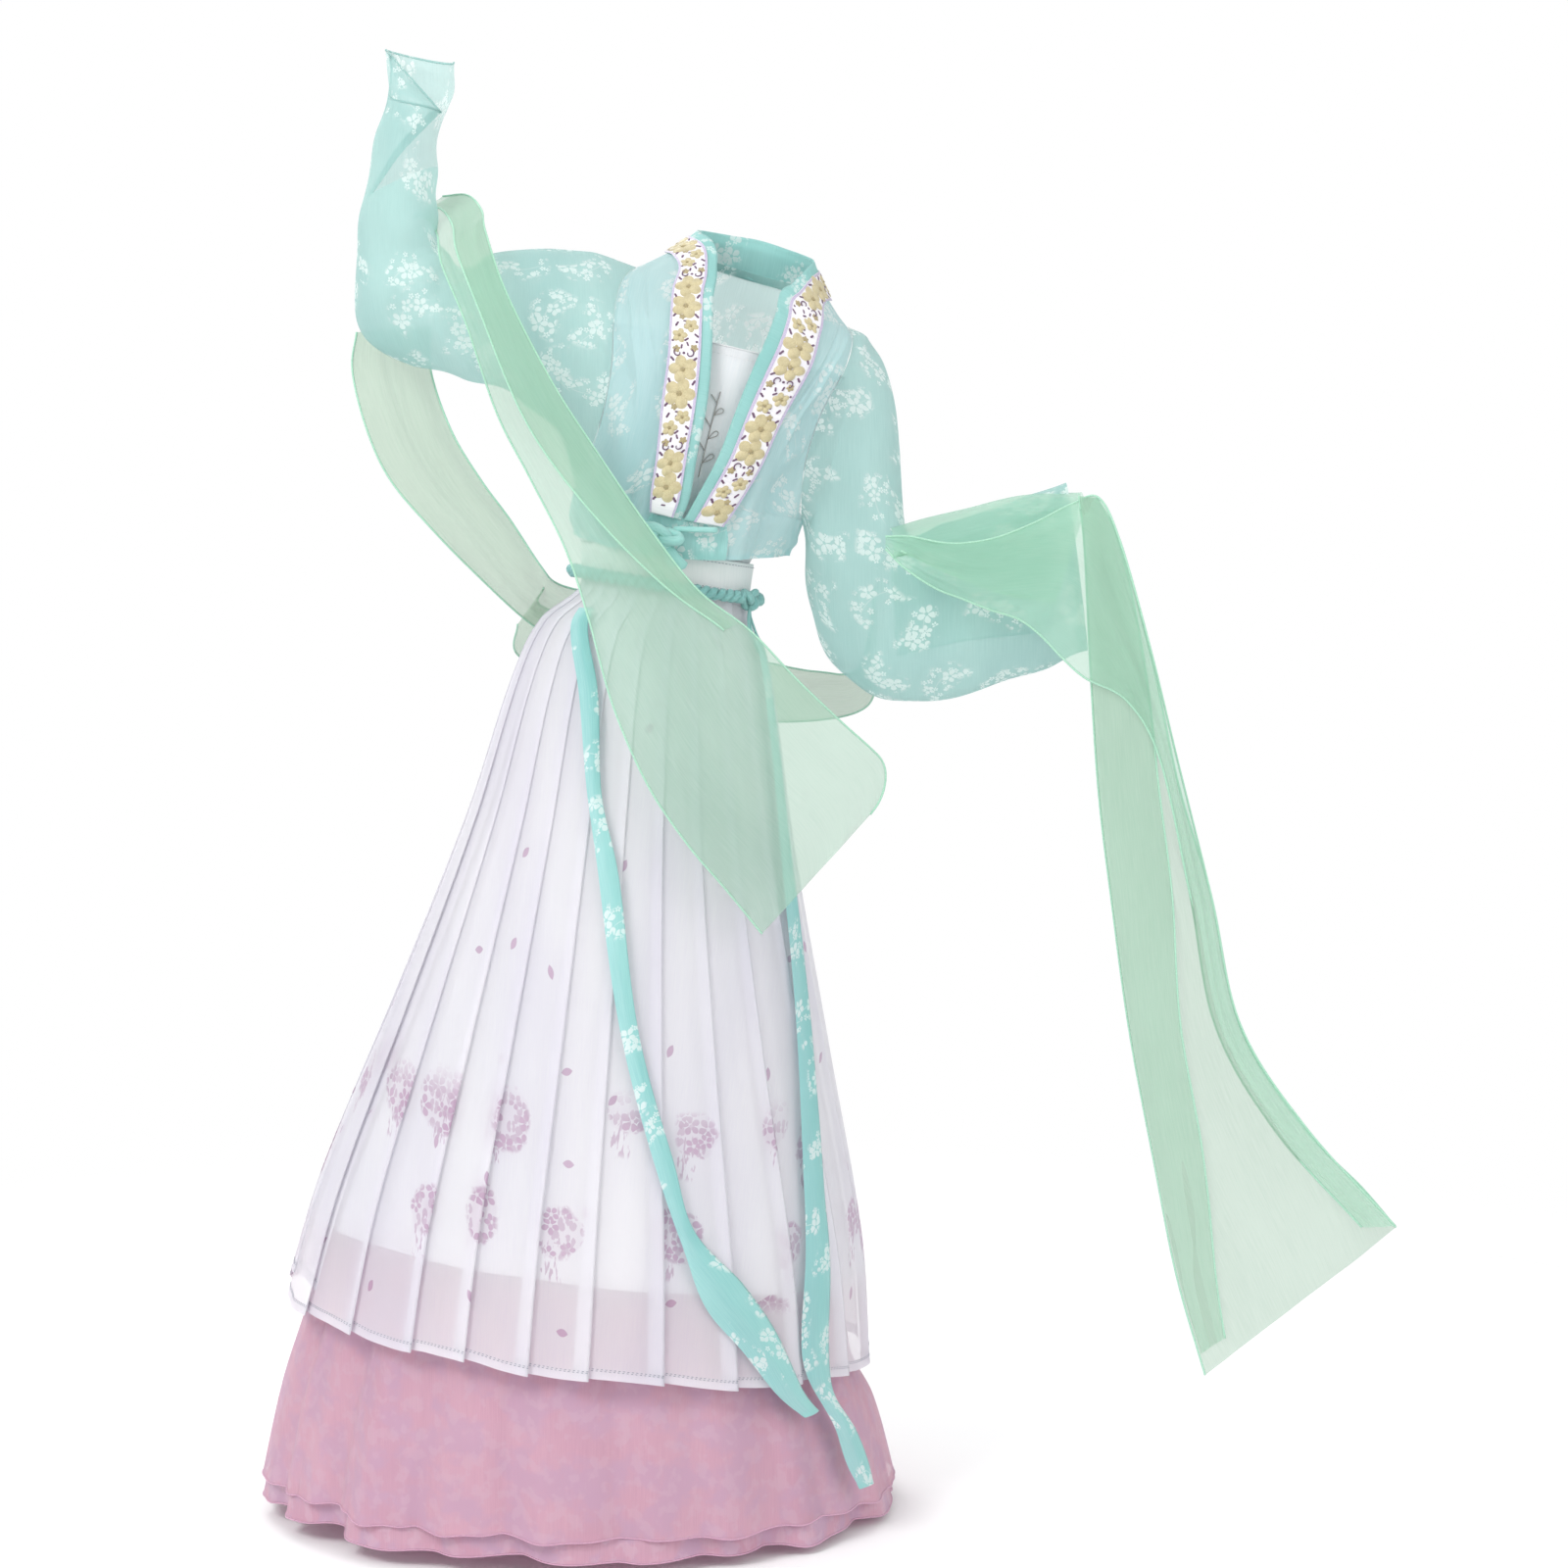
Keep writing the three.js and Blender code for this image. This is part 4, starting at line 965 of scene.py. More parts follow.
@dataclass
class Jacket:
    """The cross-tied jacket: two fronts, a back, a joining panel, its sleeves and its tie."""

    wardrobe: Wardrobe
    hem: float = -8.0
    hem_rise: float = 14.0
    top: float = 290.0
    hole_turn: float = 38.0
    hole_rise: float = 160.0
    hole_half: float = 110.0
    blouse: float = 6.0

    def hole(self, rise: Array) -> Array:
        """The armhole's half turn at a rise: an oval about the side of the bodice."""
        high = (rise - self.hole_rise) / self.hole_half
        return self.hole_turn * np.sqrt(np.maximum(1 - high**2, 0))

    def collar_angle(self, rise: Array, side: int) -> Array:
        """Angle of the collar's outer edge at a rise, on one side of the front."""
        half = COLLAR_EDGES[:8] if side < 0 else COLLAR_EDGES[:-9:-1]
        edge = [(row[4], row[3] if side < 0 else row[3] + 360) for row in half]
        return read(edge, rise)[..., 0]

    def body(self, rise: Array, turn: Array, out: Array | float = 0.0) -> Array:
        """Points of the jacket's body, with the hem higher at the sides."""
        lifted = self.hem_rise * np.sin(np.radians(turn)) ** 2 * (1 - ease(-8, 30, rise))
        return BODICE.at(rise + lifted, turn, out)

    def drape(self, rise: Array, turn: Array, seed: int) -> Array:
        """How far the cloth stands out: it blouses over the hem and hangs in uneven folds."""
        blouse = self.blouse * np.exp(-((rise - 20) / 20) ** 2)
        near = 1 - 0.7 * ease(180, 280, rise)
        hang = 3.4 * folds(turn / 90, rise / 260, 3.2, seed) * near
        gather = 2.4 * folds(turn / 90, rise / 80, 9.0, seed + 5) * (1 - ease(20, 90, rise))
        return blouse + hang + gather

    def front(self, side: int) -> bpy.types.Object:
        """One front, from under the collar to the side seam and the armhole."""
        rise = np.linspace(self.hem, self.top, 150)[:, None]
        edge = np.abs(self.collar_angle(np.maximum(rise, 36.0), side)) - 2.5
        seam = np.maximum(90 - self.hole(rise), edge + 4)
        share = np.linspace(0, 1, 72)[None, :]
        turn = side * mix(edge, seam, share)
        out = self.drape(rise, turn, 11 + side)
        tuck = ease(0, 0.10, share) * (1 - 0.75 * ease(0.9, 1.0, share) * ease(60, 90, rise))
        lines = (((0.95, 70), (0.25, 34), 0.05, 4.2), ((0.98, 105), (0.30, 64), 0.05, -4.6),
                 ((0.98, 140), (0.40, 104), 0.05, 4.4), ((0.98, 180), (0.45, 146), 0.06, -4.0),
                 ((0.98, 215), (0.5, 188), 0.06, 3.4), ((0.9, 250), (0.3, 222), 0.06, 2.4),
                 ((0.75, 262), (0.35, 120), 0.035, 3.0), ((0.55, 268), (0.18, 150), 0.03, -2.4))
        for (u0, v0), (u1, v1), width, height in lines:
            out = out + crease(share, rise / 300, (u0, v0 / 300), (u1, v1 / 300), width, height)
        points = self.body(rise, turn, out * tuck - 0.4 * (1 - tuck))
        if side < 0:
            points = points[:, ::-1]
        cloth = patch(points, origin=(0.3 * side, 0.0))
        word = "left" if side > 0 else "right"
        thing = mesh_of(f"Jacket front {word}", [cloth, turned_hem(cloth, "low", 0.006)])
        placed(thing, self.wardrobe["bodice chiffon"],
               Role("jacket_cloth", (f"jacket_front_{word}",)))
        return thing

    def back(self) -> bpy.types.Object:
        """The back, from side seam to side seam."""
        rise = np.linspace(self.hem, self.top + 11, 150)[:, None]
        hole = self.hole(rise)
        turn = mix(90 + hole, 270 - hole, np.linspace(0, 1, 150)[None, :])
        share = (turn - 90) / 180
        out = self.drape(rise, turn, 23)
        for u0, v0, u1, v1, high in ((0.1, 90, 0.4, 60, 3), (0.12, 150, 0.42, 110, -3),
                                     (0.9, 90, 0.6, 60, 3), (0.88, 150, 0.58, 110, -3),
                                     (0.5, 270, 0.5, 120, 2)):
            out = out + crease(share, rise / 300, (u0, v0 / 300), (u1, v1 / 300), 0.035, high)
        tuck = ease(0, 0.12, share - hole / 180) * ease(0, 0.12, 1 - hole / 180 - share)
        cloth = patch(self.body(rise, turn, out * mix(0.25, 1, tuck)), origin=(0.9, 0.1))
        thing = mesh_of("Jacket back", [cloth, turned_hem(cloth, "low", 0.006)])
        placed(thing, self.wardrobe["jacket chiffon"], Role("jacket_cloth", ("jacket_back",)))
        return thing

    def tab(self) -> bpy.types.Object:
        """The gathered joining panel under the tie."""
        rise = np.linspace(self.hem, 34, 40)[:, None]
        turn = np.linspace(-21, 26, 70)[None, :]
        gather = 1.8 * folds((turn + 21) / 47, rise / 60, 5.0, 31) * ease(-8, 4, rise)
        out = gather + self.blouse * np.exp(-((rise - 8) / 18) ** 2) * 0.5 - 0.8
        cloth = patch(self.body(rise, turn, out), origin=(0.6, 0.5))
        thing = mesh_of("Jacket joining panel", [cloth, turned_hem(cloth, "low", 0.006)])
        placed(thing, self.wardrobe["jacket chiffon edge"],
               Role("jacket_cloth", ("jacket_tie_tab",)))
        return thing

    def sleeve_points(self, rows: Table, side: int, s: Array, turn: Array) -> Array:
        """Points of a sleeve: each section runs from its upper to its lower edge as the sine of
        the turn falls, and stands out by its half depth times the cosine; the armhole is
        section 0, and between sections every point follows a smooth curve.

        Args:
            rows: the sleeve's sections.
            side: 1 for the wearer's left.
            s: section at each point.
            turn: degrees round it: 90 upper edge, 0 front, -90 lower edge, -180 back.

        Returns:
            Points in metres.
        """
        s, turn = np.broadcast_arrays(np.asarray(s, float), turn)
        sine, cosine = np.sin(np.radians(turn)), np.cos(np.radians(turn))
        down = ((1 - sine) / 2)[..., None]

        def at_section(where: Array) -> Array:
            """The sleeve's own points at a section, without the armhole."""
            edges = read(rows, where)
            point = mix(edges[..., 0:3], edges[..., 3:6], down) * MM
            point[..., 1] -= mix(edges[..., 6:7], edges[..., 7:8], down)[..., 0] * cosine * MM
            return point

        angle = side * (90 - self.hole_turn * cosine)
        rise = self.hole_rise + self.hole_half * sine
        seam = BODICE.at(rise, angle, 1.0)
        t = np.clip(s, 0, 1)[..., None]
        toward = at_section(np.full(s.shape, 1.35))
        one = at_section(np.ones(s.shape))
        leave = (one - seam) * 0.8
        arrive = (toward - one) / 0.35 * 0.6
        blend = ((2 * t**3 - 3 * t**2 + 1) * seam + (t**3 - 2 * t**2 + t) * leave
                 + (3 * t**2 - 2 * t**3) * one + (t**3 - t**2) * arrive)
        return np.where(s[..., None] < 1, blend, at_section(np.maximum(s, 1)))

    def sleeve_left(self) -> bpy.types.Object:
        """The hanging sleeve: a closed bag from the armhole to its wide mouth."""
        s = np.linspace(0, 8, 230)[:, None]
        turn = (-90 - 360 * np.arange(176) / 176)[None, :]
        points = self.sleeve_points(LEFT_SLEEVE, 1, s, turn)
        front = np.cos(np.radians(turn))
        low = (1 - np.sin(np.radians(turn))) / 2
        out = 2.2 * folds(s / 8, low * 0.7, 6.0, 41) * ease(0.4, 2.0, s) * mix(0.5, 1, low)
        side = np.where(front > 0, low, -low)
        for s0, l0, s1, l1, width, high in (
                (0.2, 0.75, 3.2, 0.15, 0.10, 6.0), (0.3, 0.85, 3.6, 0.35, 0.10, -6.5),
                (0.6, 0.95, 3.8, 0.55, 0.09, 6.0), (3.6, 0.10, 4.4, 0.75, 0.12, -6.0),
                (3.9, 0.05, 5.4, 0.80, 0.12, 4.5), (4.4, 0.10, 6.4, 0.80, 0.14, -6.0),
                (4.2, 0.9, 6.8, 0.55, 0.12, 3.5)):
            out = out + crease(s / 4, side, (s0 / 4, l0), (s1 / 4, l1), width, high)
            out = out + crease(s / 4, side, (s0 / 4 + 0.1, -l0), (s1 / 4, -l1), width, high * 0.8)
        points = raised(points, out * MM * ease(0.0, 0.5, s), closed=True)
        cloth = facing(points, turn[0], True, (1.7, 0.3))
        thing = mesh_of("Sleeve left", [cloth, turned_hem(cloth, "high", 0.010)])
        placed(thing, self.wardrobe["jacket chiffon"], Role("jacket_cloth", ("sleeve_left",)))
        return thing

    def sleeve_right(self) -> bpy.types.Object:
        """The raised sleeve: a closed bag up to the forearm; above it the near layer falls away
        in a slanting mouth and the far layer runs on to the wrist."""
        count = 176
        around = -45 - 360 * np.arange(count + 1) / count

        def shaped(s: Array, turn: Array) -> Array:
            """The sleeve with its folds: soft ones across it and creases from the elbow."""
            points = self.sleeve_points(RIGHT_SLEEVE, -1, s, turn)
            low = (1 - np.sin(np.radians(turn))) / 2
            side = np.where(np.cos(np.radians(turn)) > 0, low, -low)
            out = 2.0 * folds(s / 8, low * 0.8, 5.0, 57) * ease(0.4, 2.0, s)
            for s0, l0, s1, l1, width, high in (
                    (0.1, 0.90, 2.6, 0.30, 0.09, 6.5), (0.3, 0.98, 3.0, 0.55, 0.08, -7.0),
                    (0.2, 0.50, 2.8, 0.10, 0.09, -3.0), (2.6, 0.95, 4.6, 0.25, 0.10, 7.0),
                    (3.2, 1.0, 5.2, 0.45, 0.09, -6.5), (4.2, 0.05, 5.8, 0.85, 0.12, 4.0),
                    (4.8, 0.10, 6.8, 0.80, 0.12, -4.0), (6.0, 0.15, 7.8, 0.75, 0.12, 3.0)):
                out = out + crease(s / 4, side, (s0 / 4, l0), (s1 / 4, l1), width, high)
                out = out + crease(s / 4, side, (s0 / 4, -l0), (s1 / 4, -l1), width, high * 0.8)
            return raised(points, -out * MM * ease(0.0, 0.5, s))

        s = np.linspace(0, 8, 190)[:, None]
        closed = shaped(s, around[None, :])
        closed[:, -1] = closed[:, 0]
        t = np.linspace(0, 1, 80)[:, None]
        base = around[None, around >= -270.1]
        toward = np.clip((base + 90) / 45, 0, 1)
        ends = mix(12.0, mix(10.35, 9.75, toward), ease(0.0, 0.16, toward))
        upper = mix(8.0, ends, t)
        open_part = shaped(upper, base + toward * t**0.85 * 112)
        flip = slice(None, None, -1)
        body = facing(closed[:, flip], around[flip], origin=(2.6, 0.2))
        mouth = facing(open_part[:, flip], base[0, flip], origin=(2.6, 0.2))
        hem = open_part[-1, toward[0] >= 0.16]
        peak = open_part[-1, np.argmin(np.abs(base[0] + 90))]
        line = mix(hem[0], peak, np.linspace(0, 1, len(hem))[:, None])
        rise = np.linspace(0, 1, 14)[:, None, None]
        flap = mix(hem, line, rise)
        flap[..., 1] -= 0.004 * np.sin(np.pi * rise[..., 0]) + 0.001
        hems = [turned_hem(mouth, "right", 0.011, 0.0012), tube(mouth.points[-1], 0.0011, 6),
                patch(flap[:, flip], origin=(3.4, 0.2)), tube(flap[-1], 0.0011, 6)]
        thing = mesh_of("Sleeve right", [body, mouth, *hems])
        placed(thing, self.wardrobe["jacket chiffon"], Role("jacket_cloth", ("sleeve_right",)))
        return thing

    def seam_piping(self) -> bpy.types.Object:
        """Narrow seams down both sides of the body."""
        runs = []
        for side in (-1, 1):
            down = np.linspace(self.hole_rise - self.hole_half, self.hem + 2, 30)
            runs.append(tube(self.body(down, np.full(30, side * 90.0), 3.0), 0.0010, 6,
                             up=np.array([1.0, 0.0, 0.0])))
        return placed(mesh_of("Jacket seams", runs), self.wardrobe["aqua edge thread"],
                      Role("jacket_cloth"))

    def tie(self) -> bpy.types.Object:
        """The tie's knot: one twisted band drawn through itself in three lobes."""
        t = np.linspace(0, 2 * np.pi, 181)[:-1]
        x = (np.sin(t) + 2 * np.sin(2 * t)) / 3
        z = (np.cos(t) - 2 * np.cos(2 * t)) / 3
        depth = -np.sin(3 * t)
        centre = BODICE.at(14, -8, 14)
        slant = math.radians(20)
        x, z = x * 20, z * 8.5
        loop = np.stack([x * math.cos(slant) + z * math.sin(slant), depth * 4.5,
                         z * math.cos(slant) - x * math.sin(slant)], -1) * MM
        path = centre + np.concatenate([loop, loop[:2]])
        knot = tube(path, 0.0052, 12, up=np.array([0.0, -1.0, 0.0]))
        strap = BODICE.at(np.linspace(22, 26, 12), np.linspace(-3, 18, 12), 8.0)
        ends = [BODICE.at(np.linspace(10, -16, 14), np.linspace(-8, -2 + 5 * k, 14), 10.0)
                for k in range(2)]
        parts = [knot, tube(strap, 0.0030, 8, flatten=0.6),
                 *[tube(end, np.linspace(0.0045, 0.0055, 14), 8, flatten=0.5) for end in ends]]
        return placed(mesh_of("Jacket tie knot", parts), self.wardrobe["tie cloth"],
                      Role("belt_cloth", ("jacket_knot",)))

    def build(self) -> None:
        """Makes the jacket."""
        for side in (-1, 1):
            self.front(side)
        self.back()
        self.tab()
        self.sleeve_left()
        self.sleeve_right()
        self.seam_piping()
        self.tie()


# ---------------------------------------------------------------- camisole

@dataclass
class Camisole:
    """The white camisole, with a fine sewn sprig at its front."""

    wardrobe: Wardrobe
    rings: Rings = Rings((
        (-22, -2, 0, 76, 60, -8), (0, 4, 0, 82, 64, -8), (60, 22, -2, 98, 82, -9),
        (120, 39, -4, 112, 90, -11), (180, 55, -3, 122, 90, -12), (213, 63, 0, 124, 86, -13)))

    def build(self) -> None:
        """Makes the tube with tension folds, its bound top edge and the sprig."""
        rise = np.linspace(-22, 213, 90)[:, None]
        turn = (180 + 360 * np.arange(180) / 180)[None, :]
        pull = 0.9 * folds(rise / 235, turn / 200, 4.0, 61) * np.sin(np.pi * (rise + 22) / 235)
        cloth = patch(self.rings.at(rise, turn, pull), closed=True)
        thing = mesh_of("Camisole", [cloth, turned_hem(cloth, "high", 0.012, 0.001)])
        thickened(thing, 0.8 * MM)
        placed(thing, self.wardrobe["camisole satin"], Role("camisole_cloth", ("camisole",)))
        around = np.linspace(0, 360, 181)
        rows = [self.rings.at(np.full(181, high), around, out)
                for high, out in ((212.5, 0.5), (203.5, 0.9))]
        bound = tube(rows[0], 0.0009, 6)
        normal = rows[1] - rows[1].mean(0)
        normal /= np.linalg.norm(normal, axis=-1, keepdims=True)
        binding = placed(mesh_of("Camisole binding", [bound, stitches(rows[1], normal)]),
                         self.wardrobe["hem thread white"], Role("camisole_cloth"))
        sprig = placed(mesh_of("Camisole sprig", self.sprig()), self.wardrobe["stone thread"],
                       Role("camisole_cloth"))

    def sprig(self) -> list[Patch]:
        """A leaning stem with paired leaf loops, each an open pointed oval of thread."""
        t = np.linspace(0, 1, 40)
        stem_angle, stem_rise = 3.5 - 3 * t + 2 * t**2, 78 + 88 * t
        runs = [tube(self.rings.at(stem_rise, stem_angle, 1.6), 0.0006, 6)]
        loop = np.linspace(0, 1, 21)
        for k, side in ((0.16, 1), (0.30, -1), (0.44, 1), (0.58, -1), (0.72, 1), (0.86, -1)):
            at_angle, at_rise = np.interp(k, t, stem_angle), np.interp(k, t, stem_rise)
            reach, wide = 15 - 6 * k, 3.2
            along = reach * np.sin(np.pi * loop) ** 0.8
            off = wide * np.sin(2 * np.pi * loop)
            angle = at_angle + side * (along * 0.62 + off * 0.5) * 0.55
            rise = at_rise + along * 0.72 - side * off * 0.55
            runs.append(tube(self.rings.at(rise, angle, 1.6), 0.0005, 6))
        return runs


# ---------------------------------------------------------------- skirts

@dataclass
class Skirt:
    """The outer skirt: a waistband, knife pleats of sheer cloth and a plain lining."""

    wardrobe: Wardrobe
    top: float = -36.0
    hem: float = -830.0
    lining_hem: float = -742.0
    pleat_high: float = 8.0
    fold_deep: float = 15.0
    edges: Table = (
        (-80, -80, -80), (-66, -64, -60), (-54, -50, -44), (-42, -36, -29), (-30, -24, -18),
        (-16, -11, -6), (-2, 1, 5), (11, 14, 19), (24, 28, 34), (38, 43, 50), (54, 60, 67),
        (72, 78, 84), (100, 100, 100))

    def panel_points(self, edges: Array, rise: Array, hem_drop: float,
                     seed: int) -> tuple[Array, Array, Array]:
        """Knife pleats between the edges' angles: each panel rises from under the one before
        it to its own free edge, where the cloth turns back under and starts the next.

        Args:
            edges: a row of free-edge angles for each of top, middle and hem.
            rise: heights of the grid's rows, in millimetres, as a column.
            hem_drop: how much lower a panel hangs at its free edge than where it starts.
            seed: of the cloth's unevenness.

        Returns:
            The turn of every grid point, how far it stands out, and how far it drops.
        """
        share = (rise - self.top) / (self.hem - self.top)
        keys = np.array([0.0, 0.45, 1.0])
        table = np.concatenate([keys[:, None], edges], 1)
        free = read(table, share[:, 0])
        start, end = free[:, :-1], free[:, 1:]
        radius = read(SKIRT.rows, rise[:, 0])[:, 2:4].mean(1)
        deep = np.degrees(self.fold_deep * mix(0.55, 1.0, share) / radius[:, None])
        high = mix(1.8, self.pleat_high, share)
        turns, outs, drops = [], [], []
        t = np.linspace(0, 1, 26)
        back = np.array([0.03, 0.12, 0.35, 0.65, 0.92])
        for k in range(start.shape[1]):
            first, last = k == 0, k == start.shape[1] - 1
            low = start[:, k:k + 1] - (0 if first else deep)
            span = end[:, k:k + 1] - low
            wave = 1.3 * share * drift(t * 3 + 7 * k, share * 2.5, seed + k)
            rounded = 1 - 0.10 * ease(0.94, 1.0, t)
            turns.append(low + span * t)
            outs.append(high * t**0.8 * rounded + wave * np.sin(np.pi * t) * 2.0)
            drops.append(hem_drop * share**3 * t)
            if not last:
                turns.append(end[:, k:k + 1] - deep * back)
                outs.append(high * (0.84 - 0.84 * back) + 0 * share)
                drops.append(hem_drop * share**3 * (1 - back))
        turn, out, drop = (np.concatenate(parts, 1) for parts in (turns, outs, drops))
        return turn, out, drop

    def panel(self, name: str, node: str, edges: Array, seed: int,
              under: bool) -> bpy.types.Object:
        """One wrapped panel with its turned hem and double row of stitching."""
        rise = np.concatenate([np.linspace(self.hem, -700, 60), np.linspace(-696, -140, 110),
                               np.linspace(-136, self.top, 40)])[:, None]
        share = (rise - self.top) / (self.hem - self.top)
        turn, out, drop = self.panel_points(edges, rise, 2.5, seed)
        height = rise - drop + 5.0
        if under:
            tucked = np.clip((turn - 262) / 13, 0, 1)
            out = out - 5 * tucked
            height = height + 26 * tucked * share
        points = SKIRT.at(np.minimum(height, self.top), turn, out)
        points[..., 2] += (height - np.clip(height, self.hem, self.top)) * MM
        points[..., 2] -= 0.003 * share * (1 + folds(turn / 180, 0 * turn, 5, seed + 40))
        cloth = patch(points, origin=(0.4 + seed, -0.0))
        hem = turned_hem(cloth, "low", 0.011, 0.0009)
        sides = [turned_hem(cloth, "left", 0.008), turned_hem(cloth, "right", 0.008)]
        thing = mesh_of(name, [cloth, hem, *sides])
        placed(thing, self.wardrobe["skirt chiffon"], Role("skirt_cloth", (node,)))
        normal = normals_of(points)
        rows = []
        for away in (0.0085, 0.0102):
            inward = points[2] - points[0]
            inward /= np.maximum(np.linalg.norm(inward, axis=-1, keepdims=True), 1e-9)
            rows.append(stitches(points[0] + inward * away, normal[1]))
        sewn = placed(mesh_of(f"{name} stitching", rows), self.wardrobe["stitch thread"],
                      Role("skirt_cloth"))
        return thing

    def waistband(self) -> bpy.types.Object:
        """The stiff waistband, crowned, with rows of stitching along both of its edges."""
        rings = Rings(((-34, -4, 0, 88, 73, -9), (-17, -3, 0, 89, 73, -9), (0, -2, 0, 91, 74, -9)))
        rise = np.linspace(-34, 0, 22)[:, None]
        turn = (180 + 360 * np.arange(200) / 200)[None, :]
        crown = 1.2 * np.sin(np.pi * (rise + 34) / 34) ** 0.5 + 0.4 * folds(
            turn / 60, rise / 60, 2.0, 71)
        cloth = patch(rings.at(rise, turn, crown), closed=True)
        thing = mesh_of("Waistband", [cloth])
        thickened(thing, 1.6 * MM)
        placed(thing, self.wardrobe["waistband cloth"], Role("skirt_cloth", ("waistband",)))
        around = np.linspace(0, 360, 241)
        rows = []
        for high in (-30, -3.5):
            path = rings.at(np.full(241, float(high)), around, 2.0)
            away = path - path.mean(0)
            rows.append(stitches(path, away / np.linalg.norm(away, axis=-1, keepdims=True)))
        sewn = placed(mesh_of("Waistband stitching", rows), self.wardrobe["stitch thread"],
                      Role("skirt_cloth"))
        return thing

    def lining(self) -> bpy.types.Object:
        """The plain lining, with soft folds that grow toward its hem."""
        rise = np.linspace(self.lining_hem, self.top, 140)[:, None]
        turn = (180 + 360 * np.arange(300) / 300)[None, :]
        share = (rise - self.top) / (self.lining_hem - self.top)
        out = -9 + 3.0 * share * np.sin(np.radians(turn) * 11 + drift(turn / 40, share * 2, 81))
        cloth = patch(SKIRT.at(rise, turn, out), closed=True)
        thing = mesh_of("Skirt lining", [cloth, turned_hem(cloth, "low", 0.010)])
        placed(thing, self.wardrobe["skirt lining"], Role("lining_cloth", ("skirt_lining",)))
        return thing

    def build(self) -> None:
        """Makes the waistband, both panels and the lining."""
        self.waistband()
        edges = np.array(self.edges, float).T
        self.panel("Skirt front", "skirt_front", edges, 2, False)
        hems = np.linspace(100.7, 300, 13)
        self.panel("Skirt back", "skirt_back", np.stack([hems] * 3), 5, True)
        self.lining()


@dataclass
class Underskirt:
    """The pink underskirt: two gathered layers that stand out below the outer skirt."""

    wardrobe: Wardrobe
    top: float = -36.0
    valleys: Table = (
        (-66, 1.1, 4), (-47, 2.2, 5), (-24, 0.9, 4), (-8, 1.3, 5), (9, 0.9, 4), (24, 1.2, 5),
        (41, 1.0, 4), (63, 1.3, 5), (88, 1.0, 4), (112, 1.4, 5), (139, 1.1, 5), (164, 1.3, 4),
        (190, 1.1, 5), (214, 1.4, 5), (238, 1.0, 4), (262, 1.3, 5))

    def layer(self, name: str, node: str, finish: str, hem: float, out: float, count: int,
              seed: int) -> bpy.types.Object:
        """One layer: uneven rounded gathers that grow toward the hem, which dips with them."""
        rise = np.concatenate([np.linspace(hem, -780, 90), np.linspace(-772, self.top, 60)])
        rise = rise[:, None]
        turn = (180 + 360 * np.arange(480) / 480)[None, :]
        share = np.clip((rise + 560) / (hem + 560), 0, 1)
        theta = np.radians(turn)
        wander = 1.1 * np.sin(theta * 2 + seed) + 0.8 * np.sin(theta * 3 + 2 * seed)
        wave = np.sin(theta * count + wander * 2.0)
        pinch = 1 - 2 * (1 - np.abs(np.sin((theta * count + wander * 2.0) / 2))) ** 1.6
        fine = 0.22 * np.sin(theta * (2 * count + 5) + wander * 3)
        height = share**1.2 * (0.30 * wave + 0.5 * pinch + fine)
        for angle, deep, wide in self.valleys:
            away = np.abs((turn - angle + 180) % 360 - 180) / wide
            lean = 1 + 0.5 * np.sign((turn - angle + 180) % 360 - 180)
            height = height - deep * np.exp(-(away * lean) ** 2) * share**0.7
        points = UNDERSKIRT.at(rise, turn, out + 7.0 * height - 5 * share)
        points[..., 2] -= (0.0025 * height * share + 0.005 * share) * ease(-0.2, 1, share)
        cloth = patch(points, closed=True, origin=(seed * 0.37, 0.0))
        thing = mesh_of(name, [cloth, turned_hem(cloth, "low", 0.008)])
        placed(thing, self.wardrobe[finish], Role("underskirt_cloth", (node,)))
        path = np.concatenate([points[0], points[0, :1]])
        edge = placed(mesh_of(f"{name} edge", [tube(path, 0.0010, 6)]),
                      self.wardrobe["rose edge thread"], Role("underskirt_cloth"))
        return thing

    def build(self) -> None:
        """Makes the outer layer and its longer lining."""
        self.layer("Underskirt", "underskirt", "underskirt chiffon", -988, 0, 15, 1)
        self.layer("Underskirt lining", "underskirt_lining", "underskirt lining", -1010, -8,
                   11, 2)


# ---------------------------------------------------------------- belt

